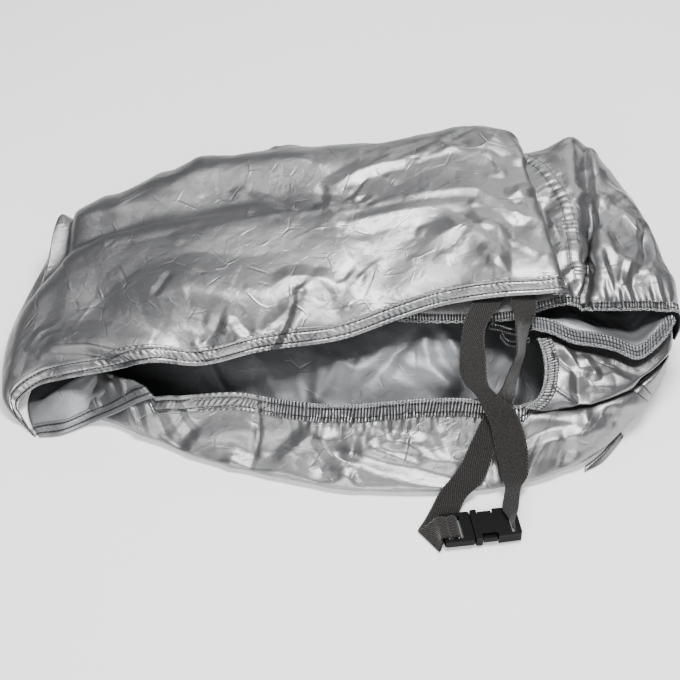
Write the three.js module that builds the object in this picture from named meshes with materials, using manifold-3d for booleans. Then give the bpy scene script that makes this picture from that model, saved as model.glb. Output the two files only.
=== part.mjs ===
// A fitted motorcycle cover of silver coated cloth. It lies folded on a floor with its mouth to the
// front, and its two webbing straps end in one closed side-release buckle.
// Millimetres, +Z up. The mouth faces -Y and the tail end is at +X.
import * as THREE from "three";
import { mergeVertices } from "three/addons/utils/BufferGeometryUtils.js";
import Module from "manifold-3d";

// Driving sizes
const CLOTH = 1.5; // thickness of every cloth solid
const WEBBING = { width: 25, thickness: 1.3 };
const BUCKLE = { length: 68, width: 35, thickness: 9, lift: 1.6, turn: 8, x: 122, y: -189 };
const GAP = 0.3; // between pieces that touch

// Colours and finishes
const FINISHES = {
  silver: { color: 0x8f9194, roughness: 0.42, metalness: 0.55 },
  webbing: { color: 0x4a4643, roughness: 0.9, metalness: 0 },
  plastic: { color: 0x141416, roughness: 0.5, metalness: 0 },
};

const cover = new THREE.Group();
cover.name = "motorcycle_cover";

function addPiece(name, geometry, finish) {
  const material = new THREE.MeshStandardMaterial(FINISHES[finish]);
  const piece = new THREE.Mesh(geometry, material);
  piece.name = name;
  cover.add(piece);
  return piece;
}

// Cloth
// A cloth is a table of sections. Each row is one section, front to back through its stations, and
// each station is a place [y, z], with a shift sideways where one is given. The section starts at x,
// leans sideways by lean at its far end and bows sideways by bow at its middle.
function sectionCurve(row, stations) {
  const last = stations.length - 1;
  const points = stations.map((station, i) => {
    const t = i / last;
    const [y, z, shift = 0] = row[station];
    const x = row.x + shift + (row.lean ?? 0) * t + (row.bow ?? 0) * 4 * t * (1 - t);
    return new THREE.Vector3(x, y, z);
  });
  return new THREE.CatmullRomCurve3(points, false, "centripetal");
}

// The middle surface of a cloth: a grid of points, columns across the rows and steps along them.
function middleSurface({ rows, stations, across, along }) {
  const sections = rows.map((row) => sectionCurve(row, stations));
  const columns = (rows.length - 1) * across;
  const steps = (stations.length - 1) * along;
  const grid = Array.from({ length: columns + 1 }, () => []);
  for (let j = 0; j <= steps; j++) {
    const through = sections.map((section) => section.getPoint(j / steps));
    const curve = new THREE.CatmullRomCurve3(through, false, "centripetal");
    for (let i = 0; i <= columns; i++) {
      const point = curve.getPoint(i / columns);
      point.z = Math.max(point.z, CLOTH / 2);
      grid[i][j] = point;
    }
  }
  return grid;
}

// The unit normal at each point of a grid.
function gridNormals(grid) {
  const columns = grid.length - 1;
  const steps = grid[0].length - 1;
  return grid.map((column, i) =>
    column.map((_, j) => {
      const acrossWay = new THREE.Vector3().subVectors(
        grid[Math.min(i + 1, columns)][j], grid[Math.max(i - 1, 0)][j]);
      const alongWay = new THREE.Vector3().subVectors(
        grid[i][Math.min(j + 1, steps)], grid[i][Math.max(j - 1, 0)]);
      return acrossWay.cross(alongWay).normalize();
    }));
}

// How far a fold lifts the cloth at a place: a soft ridge (or a trough, where its height is negative)
// along a line on the floor plan. It dies out at its ends, and near the floor, which stays flat.
const FOLD_FREE_HEIGHT = 12;
function foldLift(folds, point) {
  let lift = 0;
  for (const { from, to, width, height } of folds) {
    const start = new THREE.Vector2(...from);
    const way = new THREE.Vector2(...to).sub(start);
    const place = new THREE.Vector2(point.x, point.y).sub(start);
    const share = THREE.MathUtils.clamp(place.dot(way) / way.lengthSq(), 0, 1);
    const distance = place.distanceTo(way.clone().multiplyScalar(share));
    lift += height * Math.exp(-((distance / width) ** 2)) * Math.sin(Math.PI * (0.1 + 0.8 * share));
  }
  return lift * THREE.MathUtils.smoothstep(point.z, 1, FOLD_FREE_HEIGHT);
}

// How far the gathers along a cloth's first edge lift it: even waves that die out away from the edge.
function gatherLift(gathers, x, stepsFromEdge) {
  if (!gathers || x < gathers.from) return 0;
  const fade = Math.exp(-((stepsFromEdge / gathers.reach) ** 2));
  return gathers.height * fade * Math.cos((2 * Math.PI * x) / gathers.pitch);
}

// A closed solid: two copies of a grid, half a thickness either side, joined round the rim.
function thickSheet(grid, thickness) {
  const normals = gridNormals(grid);
  const columns = grid.length;
  const steps = grid[0].length;
  const positions = [];
  for (const side of [1, -1]) {
    for (let i = 0; i < columns; i++) {
      for (let j = 0; j < steps; j++) {
        const point = grid[i][j].clone().addScaledVector(normals[i][j], (side * thickness) / 2);
        positions.push(point.x, point.y, Math.max(point.z, 0));
      }
    }
  }
  const at = (side, i, j) => (side * columns + i) * steps + j;
  const faces = [];
  const quad = (a, b, c, d) => faces.push(a, b, c, a, c, d);
  for (let i = 0; i + 1 < columns; i++) {
    for (let j = 0; j + 1 < steps; j++) {
      quad(at(0, i, j), at(0, i + 1, j), at(0, i + 1, j + 1), at(0, i, j + 1));
      quad(at(1, i, j), at(1, i, j + 1), at(1, i + 1, j + 1), at(1, i + 1, j));
    }
    quad(at(0, i, 0), at(1, i, 0), at(1, i + 1, 0), at(0, i + 1, 0));
    quad(at(0, i, steps - 1), at(0, i + 1, steps - 1), at(1, i + 1, steps - 1), at(1, i, steps - 1));
  }
  for (let j = 0; j + 1 < steps; j++) {
    quad(at(0, 0, j), at(0, 0, j + 1), at(1, 0, j + 1), at(1, 0, j));
    quad(at(0, columns - 1, j), at(1, columns - 1, j), at(1, columns - 1, j + 1),
      at(0, columns - 1, j + 1));
  }
  const geometry = new THREE.BufferGeometry();
  geometry.setAttribute("position", new THREE.Float32BufferAttribute(positions, 3));
  geometry.setIndex(faces);
  geometry.computeVertexNormals();
  return geometry;
}

function clothPiece(name, { folds = [], gathers, ...table }) {
  const grid = middleSurface(table);
  const normals = gridNormals(grid);
  grid.forEach((column, i) => column.forEach((point, j) => {
    const lift = foldLift(folds, point) + gatherLift(gathers, point.x, j);
    point.addScaledVector(normals[i][j], lift);
    point.z = Math.max(point.z, CLOTH / 2);
  }));
  addPiece(name, thickSheet(grid, CLOTH), "silver");
}

const FLOOR = CLOTH / 2; // height of the middle of a cloth that lies on the floor

// Upper panel: plain hem at the front, a ridge and a valley behind it on the left, the crest, and the
// back down to the floor. Its first rows are the left side and its last two are tucked under.
clothPiece("upper_panel", {
  across: 3,
  along: 3,
  stations: ["hem", "band", "brow", "ridge", "valley", "crest", "shoulder", "foot"],
  rows: [
    { x: -281, lean: 28, bow: -46, hem: [-68, FLOOR], band: [-40, FLOOR], brow: [-14, FLOOR],
      ridge: [30, FLOOR], valley: [78, FLOOR], crest: [108, FLOOR], shoulder: [162, FLOOR],
      foot: [214, FLOOR] },
    { x: -291, lean: 34, bow: -44, hem: [-54, 5], band: [-38, 9], brow: [-12, 16],
      ridge: [32, 20], valley: [80, 22], crest: [114, 26], shoulder: [168, 20], foot: [220, FLOOR] },
    { x: -300, lean: 36, bow: -24, hem: [-38, 10], band: [-28, 16], brow: [-4, 29],
      ridge: [54, 40], valley: [98, 38, 7], crest: [156, 46, 6], shoulder: [192, 32],
      foot: [230, FLOOR] },
    { x: -294, lean: 20, bow: -8, hem: [-28, 15], band: [-19, 24], brow: [6, 38],
      ridge: [78, 52], valley: [116, 40], crest: [194, 61, 4], shoulder: [212, 42], foot: [242, FLOOR] },
    { x: -282, lean: 16, hem: [-22, 22], band: [-13, 32], brow: [14, 46],
      ridge: [102, 62], valley: [126, 37], crest: [184, 58], shoulder: [210, 44], foot: [246, FLOOR] },
    { x: -258, lean: -8, hem: [-22, 30], band: [-12, 42], brow: [16, 54],
      ridge: [113, 71], valley: [136, 50], crest: [176, 74], shoulder: [210, 54], foot: [250, FLOOR] },
    { x: -214, lean: -14, hem: [-25, 43], band: [-14, 55], brow: [15, 68],
      ridge: [116, 84], valley: [140, 64], crest: [172, 90], shoulder: [216, 70], foot: [256, FLOOR] },
    { x: -174, lean: -6, hem: [-29, 57], band: [-18, 69], brow: [18, 82],
      ridge: [112, 97], valley: [140, 80], crest: [186, 104], shoulder: [232, 84], foot: [264, FLOOR] },
    { x: -128, hem: [-29, 53], band: [-18, 65], brow: [20, 88],
      ridge: [116, 110], valley: [148, 98], crest: [204, 118], shoulder: [244, 96], foot: [274, FLOOR] },
    { x: -72, hem: [-24, 66], band: [-13, 78], brow: [26, 98],
      ridge: [118, 118], valley: [152, 112], crest: [204, 126], shoulder: [246, 102],
      foot: [278, FLOOR] },
    { x: 0, hem: [-15, 72], band: [-4, 84], brow: [30, 103],
      ridge: [110, 122], valley: [150, 124], crest: [203, 132], shoulder: [246, 108],
      foot: [281, FLOOR] },
    { x: 56, hem: [1, 84], band: [12, 96], brow: [42, 110],
      ridge: [115, 127], valley: [155, 130], crest: [209, 136], shoulder: [250, 112],
      foot: [284, FLOOR] },
    { x: 94, lean: -4, hem: [10, 92], band: [21, 104], brow: [48, 117],
      ridge: [118, 130], valley: [158, 134], crest: [216, 140], shoulder: [254, 116],
      foot: [287, FLOOR] },
    { x: 148, lean: -14, hem: [9, 104], band: [20, 115], brow: [46, 125],
      ridge: [115, 134], valley: [158, 138], crest: [228, 145], shoulder: [262, 120],
      foot: [291, FLOOR] },
    { x: 184, lean: -30, hem: [9, 107], band: [20, 118], brow: [46, 127],
      ridge: [110, 132], valley: [152, 136], crest: [222, 142], shoulder: [259, 118],
      foot: [290, FLOOR] },
    { x: 205, lean: -40, hem: [11, 107], band: [22, 116], brow: [50, 123],
      ridge: [104, 128], valley: [146, 133], crest: [206, 139], shoulder: [252, 116],
      foot: [287, FLOOR] },
    { x: 209, lean: -41, hem: [13, 104], band: [23, 112], brow: [50, 119],
      ridge: [104, 124], valley: [146, 129], crest: [205, 135], shoulder: [248, 113],
      foot: [284, FLOOR] },
    { x: 196, lean: -38, hem: [16, 101], band: [26, 109], brow: [52, 116],
      ridge: [104, 121], valley: [146, 126], crest: [204, 132], shoulder: [245, 110],
      foot: [281, FLOOR] },
  ],
  folds: [
    { from: [-20, 60], to: [-38, -5], width: 9, height: -5 },
    { from: [-30, 70], to: [55, 80], width: 10, height: 5 },
    { from: [85, 125], to: [150, 35], width: 16, height: 6 },
    { from: [168, 130], to: [160, 30], width: 12, height: -6 },
    { from: [-95, 165], to: [-10, 205], width: 14, height: 5 },
    { from: [10, 150], to: [60, 205], width: 14, height: -5 },
    { from: [-270, 5], to: [-180, -4], width: 12, height: 4 },
  ],
});

// Tail panel: elastic edge at the front, the crest and the back down to the floor. Its left half lies
// under the upper panel. A deep valley parts the seam side from the bunched end.
clothPiece("tail_panel", {
  across: 3,
  along: 3,
  stations: ["hem", "gather", "slope", "mid", "crest", "shoulder", "foot"],
  rows: [
    { x: 38, hem: [16, 72], gather: [26, 80], slope: [60, 97], mid: [120, 110],
      crest: [200, 119], shoulder: [236, 98], foot: [266, FLOOR] },
    { x: 60, hem: [9, 74], gather: [18, 84], slope: [55, 101], mid: [120, 115],
      crest: [204, 125], shoulder: [240, 102], foot: [269, FLOOR] },
    { x: 118, lean: -6, hem: [6, 75], gather: [16, 86], slope: [52, 107], mid: [118, 118],
      crest: [210, 129], shoulder: [244, 106], foot: [272, FLOOR] },
    { x: 162, lean: -10, hem: [6, 79], gather: [16, 90], slope: [52, 108], mid: [115, 117],
      crest: [208, 122], shoulder: [238, 97], foot: [268, FLOOR] },
    { x: 196, lean: 6, hem: [14, 87], gather: [22, 95], slope: [55, 105], mid: [110, 115],
      crest: [214, 124], shoulder: [242, 99], foot: [272, FLOOR] },
    { x: 213, lean: 28, hem: [12, 91], gather: [20, 97], slope: [52, 104], mid: [110, 116],
      crest: [229, 130], shoulder: [255, 106], foot: [282, FLOOR] },
    { x: 225, lean: 30, hem: [8, 88], gather: [18, 91], slope: [50, 93], mid: [108, 102],
      crest: [218, 115], shoulder: [254, 96], foot: [284, FLOOR] },
    { x: 233, lean: 28, hem: [6, 90], gather: [14, 98], slope: [48, 107], mid: [106, 117],
      crest: [202, 121], shoulder: [246, 100], foot: [283, FLOOR] },
    { x: 257, lean: 10, hem: [7, 89], gather: [15, 97], slope: [46, 106], mid: [100, 114],
      crest: [180, 114], shoulder: [230, 92], foot: [274, FLOOR] },
    { x: 283, lean: 4, hem: [10, 87], gather: [17, 94], slope: [44, 103], mid: [90, 107],
      crest: [150, 104], shoulder: [205, 80], foot: [254, FLOOR] },
    { x: 302, hem: [10, 85], gather: [16, 90], slope: [38, 96], mid: [72, 98],
      crest: [112, 92], shoulder: [165, 64], foot: [222, FLOOR] },
    { x: 313, hem: [14, 82], gather: [19, 85], slope: [34, 88], mid: [54, 85],
      crest: [86, 72], shoulder: [130, 42], foot: [178, FLOOR] },
    { x: 317, hem: [18, 68], gather: [22, 70], slope: [36, 68], mid: [52, 60],
      crest: [76, 44], shoulder: [106, 22], foot: [136, FLOOR] },
    { x: 316, hem: [24, 40], gather: [28, 39], slope: [38, 35], mid: [50, 29],
      crest: [64, 20], shoulder: [80, 10], foot: [96, FLOOR] },
  ],
  gathers: { from: 190, pitch: 15, height: 1.8, reach: 6 },
  folds: [
    { from: [244, 15], to: [262, 80], width: 8, height: 4 },
    { from: [262, 15], to: [276, 70], width: 7, height: -4 },
    { from: [284, 20], to: [290, 90], width: 8, height: 4 },
  ],
});

// Tail flap: the free elastic edge of the tail's lower side, turned out so that its inner face shows,
// and the cloth behind it that runs back into the pocket.
clothPiece("tail_flap", {
  across: 3,
  along: 3,
  stations: ["edge", "stitch", "lining", "inside"],
  rows: [
    { x: 177, edge: [-6, 77], stitch: [1, 86], lining: [5, 77], inside: [22, 68] },
    { x: 194, edge: [-12, 77], stitch: [0, 85], lining: [8, 76], inside: [34, 66] },
    { x: 214, edge: [-21, 73], stitch: [-5, 83], lining: [14, 76], inside: [52, 64] },
    { x: 236, edge: [-25, 72], stitch: [-12, 80], lining: [8, 72], inside: [54, 60] },
    { x: 251, edge: [-28, 70], stitch: [-17, 77], lining: [4, 68], inside: [54, 58] },
    { x: 272, edge: [-33, 64], stitch: [-20, 71], lining: [2, 65], inside: [52, 58] },
    { x: 289, lean: -8, edge: [-21, 66], stitch: [-10, 75], lining: [6, 70], inside: [46, 62] },
    { x: 302, lean: -8, edge: [-8, 72], stitch: [2, 80], lining: [14, 75], inside: [40, 66] },
    { x: 311, lean: -10, edge: [6, 79], stitch: [9, 82], lining: [18, 77], inside: [36, 70] },
  ],
});

// Gusset: a fold of cloth under the flap. Its first row is the elastic edge that runs down its left
// side, and its last rows go round the tail end.
clothPiece("gusset", {
  across: 3,
  along: 3,
  stations: ["top", "brow", "belly", "fold", "tuck"],
  rows: [
    { x: 182, lean: -16, bow: 11, top: [-9, 69], brow: [-34, 64], belly: [-55, 59], fold: [-74, 54],
      tuck: [-84, 51] },
    { x: 196, lean: -12, bow: 8, top: [-8, 69], brow: [-32, 66], belly: [-54, 60], fold: [-74, 52],
      tuck: [-84, 47] },
    { x: 217, top: [-10, 66], brow: [-34, 63], belly: [-55, 55], fold: [-75, 45], tuck: [-68, 41] },
    { x: 246, top: [-12, 64], brow: [-32, 60], belly: [-48, 54], fold: [-64, 47], tuck: [-56, 43] },
    { x: 272, top: [-10, 58], brow: [-28, 56], belly: [-37, 53], fold: [-45, 50], tuck: [-38, 45] },
    { x: 295, top: [2, 60], brow: [-12, 57], belly: [-18, 55], fold: [-24, 52], tuck: [-18, 47] },
    { x: 308, top: [10, 61], brow: [4, 59], belly: [0, 56], fold: [-4, 52], tuck: [2, 47] },
    { x: 312, top: [22, 58], brow: [19, 56], belly: [17, 54], fold: [15, 51], tuck: [18, 48] },
  ],
  folds: [
    { from: [218, -40], to: [220, -72], width: 6, height: -3 },
    { from: [222, -50], to: [262, -46], width: 7, height: 3 },
  ],
});

// Lower panel: the lip under the mouth, the belly in front of it, the floor, a swell inside the mouth
// and the back edge under the upper panel. On the left the lip is cuffed outwards onto the floor.
clothPiece("lower_panel", {
  across: 3,
  along: 2,
  stations: ["edge", "band", "fold", "belly", "front", "foot", "floor", "swell", "dip", "back"],
  rows: [
    { x: -277, lean: 40, bow: -34, edge: [-69, 1], band: [-54, 2], fold: [-36, 3], belly: [-20, 2],
      front: [-4, FLOOR], foot: [14, FLOOR], floor: [56, FLOOR], swell: [96, FLOOR],
      dip: [140, FLOOR], back: [186, FLOOR] },
    { x: -258, lean: 28, edge: [-67, 2], band: [-43, 8], fold: [-14, 18], belly: [-24, 9],
      front: [-34, 3], foot: [-26, FLOOR], floor: [30, FLOOR], swell: [90, FLOOR],
      dip: [150, FLOOR], back: [208, FLOOR] },
    { x: -231, edge: [-53, 4], band: [-32, 11], fold: [-9, 24], belly: [-27, 14],
      front: [-44, 6], foot: [-40, FLOOR], floor: [16, FLOOR], swell: [100, FLOOR],
      dip: [160, FLOOR], back: [228, FLOOR] },
    { x: -208, edge: [-53, 16], band: [-36, 22], fold: [-20, 30], belly: [-42, 17],
      front: [-55, 6], foot: [-49, FLOOR], floor: [6, FLOOR], swell: [90, FLOOR],
      dip: [164, FLOOR], back: [238, FLOOR] },
    { x: -184, edge: [-53, 30], band: [-47, 35], fold: [-37, 38], belly: [-58, 22],
      front: [-70, 7], foot: [-63, FLOOR], floor: [-10, FLOOR], swell: [70, 8],
      dip: [168, FLOOR], back: [246, FLOOR] },
    { x: -164, edge: [-55, 39], band: [-56, 36], fold: [-61, 31], belly: [-71, 20],
      front: [-81, 7], foot: [-73, FLOOR], floor: [-20, FLOOR], swell: [50, 14],
      dip: [168, FLOOR], back: [252, FLOOR] },
    { x: -142, edge: [-58, 43], band: [-65, 32], fold: [-73, 23], belly: [-82, 14],
      front: [-94, 6], foot: [-86, FLOOR], floor: [-34, FLOOR], swell: [34, 26],
      dip: [168, FLOOR], back: [256, FLOOR] },
    { x: -94, edge: [-62, 50], band: [-71, 38], fold: [-81, 27], belly: [-93, 15],
      front: [-114, 6], foot: [-105, FLOOR], floor: [-50, FLOOR], swell: [30, 40],
      dip: [160, FLOOR], back: [260, FLOOR] },
    { x: -52, edge: [-72, 50], band: [-81, 38], fold: [-90, 28], belly: [-105, 15],
      front: [-126, 6], foot: [-117, FLOOR], floor: [-62, FLOOR], swell: [30, 46],
      dip: [160, FLOOR], back: [262, FLOOR] },
    { x: 0, edge: [-81, 52], band: [-91, 42], fold: [-102, 33], belly: [-118, 18],
      front: [-141, 6], foot: [-131, FLOOR], floor: [-74, FLOOR], swell: [32, 52],
      dip: [160, FLOOR], back: [258, FLOOR] },
    { x: 78, edge: [-78, 57], band: [-86, 46], fold: [-98, 34], belly: [-118, 18],
      front: [-144, 6], foot: [-134, FLOOR], floor: [-74, FLOOR], swell: [40, 62],
      dip: [160, FLOOR], back: [256, FLOOR] },
    { x: 122, edge: [-79, 57], band: [-87, 46], fold: [-99, 34], belly: [-118, 18],
      front: [-143, 6], foot: [-133, FLOOR], floor: [-70, FLOOR], swell: [44, 60],
      dip: [160, FLOOR], back: [256, FLOOR] },
    { x: 154, edge: [-80, 50], band: [-88, 43], fold: [-97, 35], belly: [-114, 21],
      front: [-136, 6], foot: [-126, FLOOR], floor: [-60, FLOOR], swell: [46, 46],
      dip: [160, FLOOR], back: [256, FLOOR] },
    { x: 176, edge: [-64, 38], band: [-75, 41], fold: [-88, 39], belly: [-107, 28],
      front: [-130, 7], foot: [-120, FLOOR], floor: [-50, FLOOR], swell: [48, 24],
      dip: [160, FLOOR], back: [256, FLOOR] },
    { x: 200, edge: [-48, 30], band: [-66, 36], fold: [-84, 38], belly: [-102, 28],
      front: [-119, 8], foot: [-108, FLOOR], floor: [-40, FLOOR], swell: [36, FLOOR],
      dip: [160, FLOOR], back: [256, FLOOR] },
    { x: 227, edge: [-44, 31], band: [-62, 37], fold: [-79, 39], belly: [-94, 28],
      front: [-103, 9], foot: [-91, FLOOR], floor: [-30, FLOOR], swell: [50, FLOOR],
      dip: [150, FLOOR], back: [254, FLOOR] },
    { x: 255, edge: [-34, 34], band: [-49, 39], fold: [-62, 40], belly: [-71, 28],
      front: [-70, 11], foot: [-56, FLOOR], floor: [-10, FLOOR], swell: [60, FLOOR],
      dip: [140, FLOOR], back: [240, FLOOR] },
    { x: 280, edge: [-18, 36], band: [-31, 40], fold: [-42, 41], belly: [-46, 28],
      front: [-41, 12], foot: [-27, FLOOR], floor: [10, FLOOR], swell: [60, FLOOR],
      dip: [120, FLOOR], back: [216, FLOOR] },
    { x: 298, edge: [-2, 36], band: [-13, 41], fold: [-21, 43], belly: [-20, 29],
      front: [-14, 12], foot: [-2, FLOOR], floor: [20, FLOOR], swell: [50, FLOOR],
      dip: [90, FLOOR], back: [160, FLOOR] },
    { x: 308, edge: [12, 34], band: [5, 38], fold: [1, 38], belly: [3, 26],
      front: [7, 11], foot: [15, FLOOR], floor: [26, FLOOR], swell: [44, FLOOR],
      dip: [64, FLOOR], back: [90, FLOOR] },
  ],
  gathers: { from: -60, pitch: 30, height: 1.6, reach: 7 },
  folds: [
    { from: [-212, -48], to: [-180, -68], width: 7, height: 3 },
    { from: [168, -92], to: [226, -84], width: 7, height: 3 },
    { from: [172, -112], to: [250, -80], width: 8, height: 4 },
    { from: [20, -100], to: [34, -132], width: 8, height: -3 },
    { from: [60, -96], to: [50, -134], width: 8, height: 3 },
    { from: [-90, -76], to: [-86, -108], width: 7, height: -3 },
  ],
});

// Tail hem: the corner of stitched hem that peeks out on the floor from under the tail end.
clothPiece("tail_hem", {
  across: 4,
  along: 3,
  stations: ["inner", "rise", "outer"],
  rows: [
    { x: 222, inner: [-108, 1], rise: [-111, 2], outer: [-114, FLOOR] },
    { x: 237, inner: [-94, 2], rise: [-99, 6], outer: [-103, FLOOR] },
    { x: 250, inner: [-76, 3], rise: [-81, 6.5], outer: [-86, FLOOR] },
    { x: 257, lean: 4, inner: [-62, 2], rise: [-66, 4], outer: [-69, FLOOR] },
  ],
});

// Webbing
// A strap is a table of places of its two edges, from the hem to the buckle. It is narrower than the
// webbing where it is folded double.
const radians = THREE.MathUtils.degToRad;
const STRAP_STEPS = 3; // steps from one row to the next

// A place given in the buckle's own frame, along it, across it and up from its underside.
const buckleFrame = new THREE.Matrix4()
  .makeTranslation(BUCKLE.x, BUCKLE.y, BUCKLE.lift)
  .multiply(new THREE.Matrix4().makeRotationZ(radians(BUCKLE.turn)));
const onBuckle = (along, over, up) =>
  new THREE.Vector3(along, over, up).applyMatrix4(buckleFrame).toArray();

function strapPiece(name, rows) {
  const steps = (rows.length - 1) * STRAP_STEPS;
  const grid = ["left", "right"].map((side) => {
    const places = rows.map((row) => new THREE.Vector3(...row[side]));
    const edge = new THREE.CatmullRomCurve3(places, false, "centripetal");
    return Array.from({ length: steps + 1 }, (_, j) => edge.getPoint(j / steps));
  });
  addPiece(name, thickSheet(grid, WEBBING.thickness), "webbing");
}

// Along the buckle, from the ladder end of the male half to the bar of the female half.
const END = BUCKLE.length / 2;
const BAR = 4;
const SLOT = { width: WEBBING.width + 2, length: 4.5 };
const SLOT_MIDDLE = END - BAR - SLOT.length / 2; // in the female half
const BAR_TOP = BUCKLE.thickness - 1.5;
const WEB_TOP = BAR_TOP + 0.6 + WEBBING.thickness / 2; // middle of the webbing over a ladder bar
const WEB_DIP = WEB_TOP - 1.6; // and in a ladder slot
const threaded = (along, up) => ({
  left: onBuckle(along, WEBBING.width / 2, up), right: onBuckle(along, -WEBBING.width / 2, up) });

strapPiece("strap_fixed", [
  { left: [125, 17, 98], right: [155, 18, 100] },
  { left: [119, 3, 95], right: [145, 2, 96.5] },
  { left: [114, -11, 93], right: [138, -9, 94] },
  { left: [111, -25, 89], right: [133, -19, 90.5] },
  { left: [109, -38, 84.5], right: [131, -32, 86.5] },
  { left: [108, -52, 78.5], right: [132, -46, 80] },
  { left: [108, -62, 72.5], right: [132, -63, 73] },
  { left: [113, -72, 68], right: [134, -76, 69] },
  { left: [121, -82, 64.5], right: [143, -84, 64] },
  { left: [128, -93, 56.5], right: [154, -91, 58] },
  { left: [134, -101, 47], right: [162, -101, 46] },
  { left: [137, -112, 36], right: [167, -115, 33] },
  { left: [141, -126, 24.5], right: [168, -127, 22.5] },
  { left: [143, -136, 18], right: [167, -136, 17] },
  { left: [146, -146, 14], right: [161, -146, 14] },
  { left: [144, -160, 14], right: [158, -160, 14] },
  { left: [142, -173, 13], right: [156, -173, 13] },
  { left: onBuckle(SLOT_MIDDLE - 3, 3, 10.8), right: onBuckle(SLOT_MIDDLE + 4, 2, 10.8) },
  { left: onBuckle(SLOT_MIDDLE - 1.6, -3, 10), right: onBuckle(SLOT_MIDDLE + 2, -4, 10) },
  { left: onBuckle(SLOT_MIDDLE - 0.8, -7, 7.4), right: onBuckle(SLOT_MIDDLE + 0.8, -11, 7.4) },
]);

strapPiece("strap_free", [
  { left: [159, 16, 103], right: [180, 18, 103] },
  { left: [157, 3, 99], right: [181, 3, 99] },
  { left: [159, -7, 96], right: [178, -8, 94] },
  { left: [160, -20, 93], right: [174, -12, 85] },
  { left: [160, -34, 88], right: [171, -18, 74] },
  { left: [159, -48, 83], right: [169, -29, 67] },
  { left: [152, -62, 75], right: [163, -48, 63] },
  { left: [146, -74, 68], right: [158, -67, 60] },
  { left: [137, -84, 60], right: [156, -82, 57] },
  { left: [129, -93, 51], right: [151, -94, 47] },
  { left: [122, -102, 40], right: [143, -107, 37] },
  { left: [113, -117, 28], right: [136, -121, 26] },
  { left: [108, -126, 22], right: [131, -133, 19] },
  { left: [98, -139, 16], right: [121, -146, 12] },
  { left: [88, -150, 10], right: [112, -154, 8] },
  { left: [80, -164, 3], right: [103, -172, 2] },
  { left: [74, -176, 0.8], right: [95, -190, 0.8] },
  { left: [68, -189, 1.6], right: [86, -214, 1.6] },
  { left: [77, -185, 6], right: [88, -211, 6] },
  threaded(-END - 2, WEB_TOP),
  threaded(-END + BAR / 2, WEB_TOP + 0.2),
  threaded(-END + BAR, WEB_TOP),
  threaded(-END + BAR + SLOT.length / 2, WEB_DIP),
  threaded(-END + BAR + SLOT.length, WEB_TOP),
  threaded(-END + 2 * BAR + SLOT.length, WEB_TOP),
  threaded(-END + 2 * BAR + 1.5 * SLOT.length, WEB_DIP - 1.4),
]);

// Buckle
const wasm = await Module();
wasm.setup();

function toSolid(geometry) {
  const bare = geometry.clone();
  bare.deleteAttribute("normal");
  bare.deleteAttribute("uv");
  const merged = mergeVertices(bare, 1e-4);
  return new wasm.Manifold(new wasm.Mesh({
    numProp: 3,
    vertProperties: new Float32Array(merged.attributes.position.array),
    triVerts: new Uint32Array(merged.index.array),
  }));
}

function toGeometry(solid) {
  const mesh = solid.getMesh();
  const geometry = new THREE.BufferGeometry();
  geometry.setAttribute("position", new THREE.Float32BufferAttribute(mesh.vertProperties, 3));
  geometry.setIndex(Array.from(mesh.triVerts));
  geometry.computeVertexNormals();
  return geometry;
}

// A plate with rounded corners, between two heights. It may narrow towards its far end.
function plate({ x0, x1, width, farWidth = width, z0, z1, round }) {
  const a = width / 2;
  const b = farWidth / 2;
  const shape = new THREE.Shape();
  shape.moveTo(x0 + round, -a);
  shape.lineTo(x1 - round, -b);
  shape.quadraticCurveTo(x1, -b, x1, -b + round);
  shape.lineTo(x1, b - round);
  shape.quadraticCurveTo(x1, b, x1 - round, b);
  shape.lineTo(x0 + round, a);
  shape.quadraticCurveTo(x0, a, x0, a - round);
  shape.lineTo(x0, -a + round);
  shape.quadraticCurveTo(x0, -a, x0 + round, -a);
  const geometry = new THREE.ExtrudeGeometry(shape, {
    depth: z1 - z0, bevelEnabled: false, curveSegments: 4 });
  return toSolid(geometry.translate(0, 0, z0));
}

function block(x0, x1, y0, y1, z0, z1) {
  const geometry = new THREE.BoxGeometry(x1 - x0, y1 - y0, z1 - z0);
  return toSolid(geometry.translate((x0 + x1) / 2, (y0 + y1) / 2, (z0 + z1) / 2));
}

const MOUTH = -7; // where the halves meet
const WALL = 1.8;
const CAVITY = { width: BUCKLE.width - 7, depth: 26, z0: WALL, z1: BUCKLE.thickness - WALL };
const WINDOW = { x0: -1, x1: 13, depth: 5.5 };
const LADDER_FOOT = 1.5; // height of the ladder's underside
const ARM = { y: 10, halfWidth: 2 }; // a spring arm, and below the pad at its end
const PAD = { y: 13.2, halfWidth: 3.2 };
const TONGUE = { halfWidth: 3, length: CAVITY.depth - 5 };

function femaleHalf() {
  const shell = plate({ x0: MOUTH, x1: END, width: BUCKLE.width, farWidth: BUCKLE.width - 3,
    z0: 0, z1: BUCKLE.thickness, round: 2.5 });
  const cavity = block(MOUTH - 1, MOUTH + CAVITY.depth, -CAVITY.width / 2, CAVITY.width / 2,
    CAVITY.z0, CAVITY.z1);
  const slotFrom = SLOT_MIDDLE - SLOT.length / 2;
  const slot = block(slotFrom, slotFrom + SLOT.length, -SLOT.width / 2, SLOT.width / 2,
    -1, BUCKLE.thickness + 1);
  const halfWidth = BUCKLE.width / 2;
  const windows = [-1, 1].map((side) => block(WINDOW.x0, WINDOW.x1,
    side > 0 ? halfWidth - WINDOW.depth : -halfWidth - 1,
    side > 0 ? halfWidth + 1 : -halfWidth + WINDOW.depth,
    -1, BUCKLE.thickness + 1));
  return windows.reduce((solid, window) => solid.subtract(window), shell.subtract(cavity).subtract(slot));
}

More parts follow.
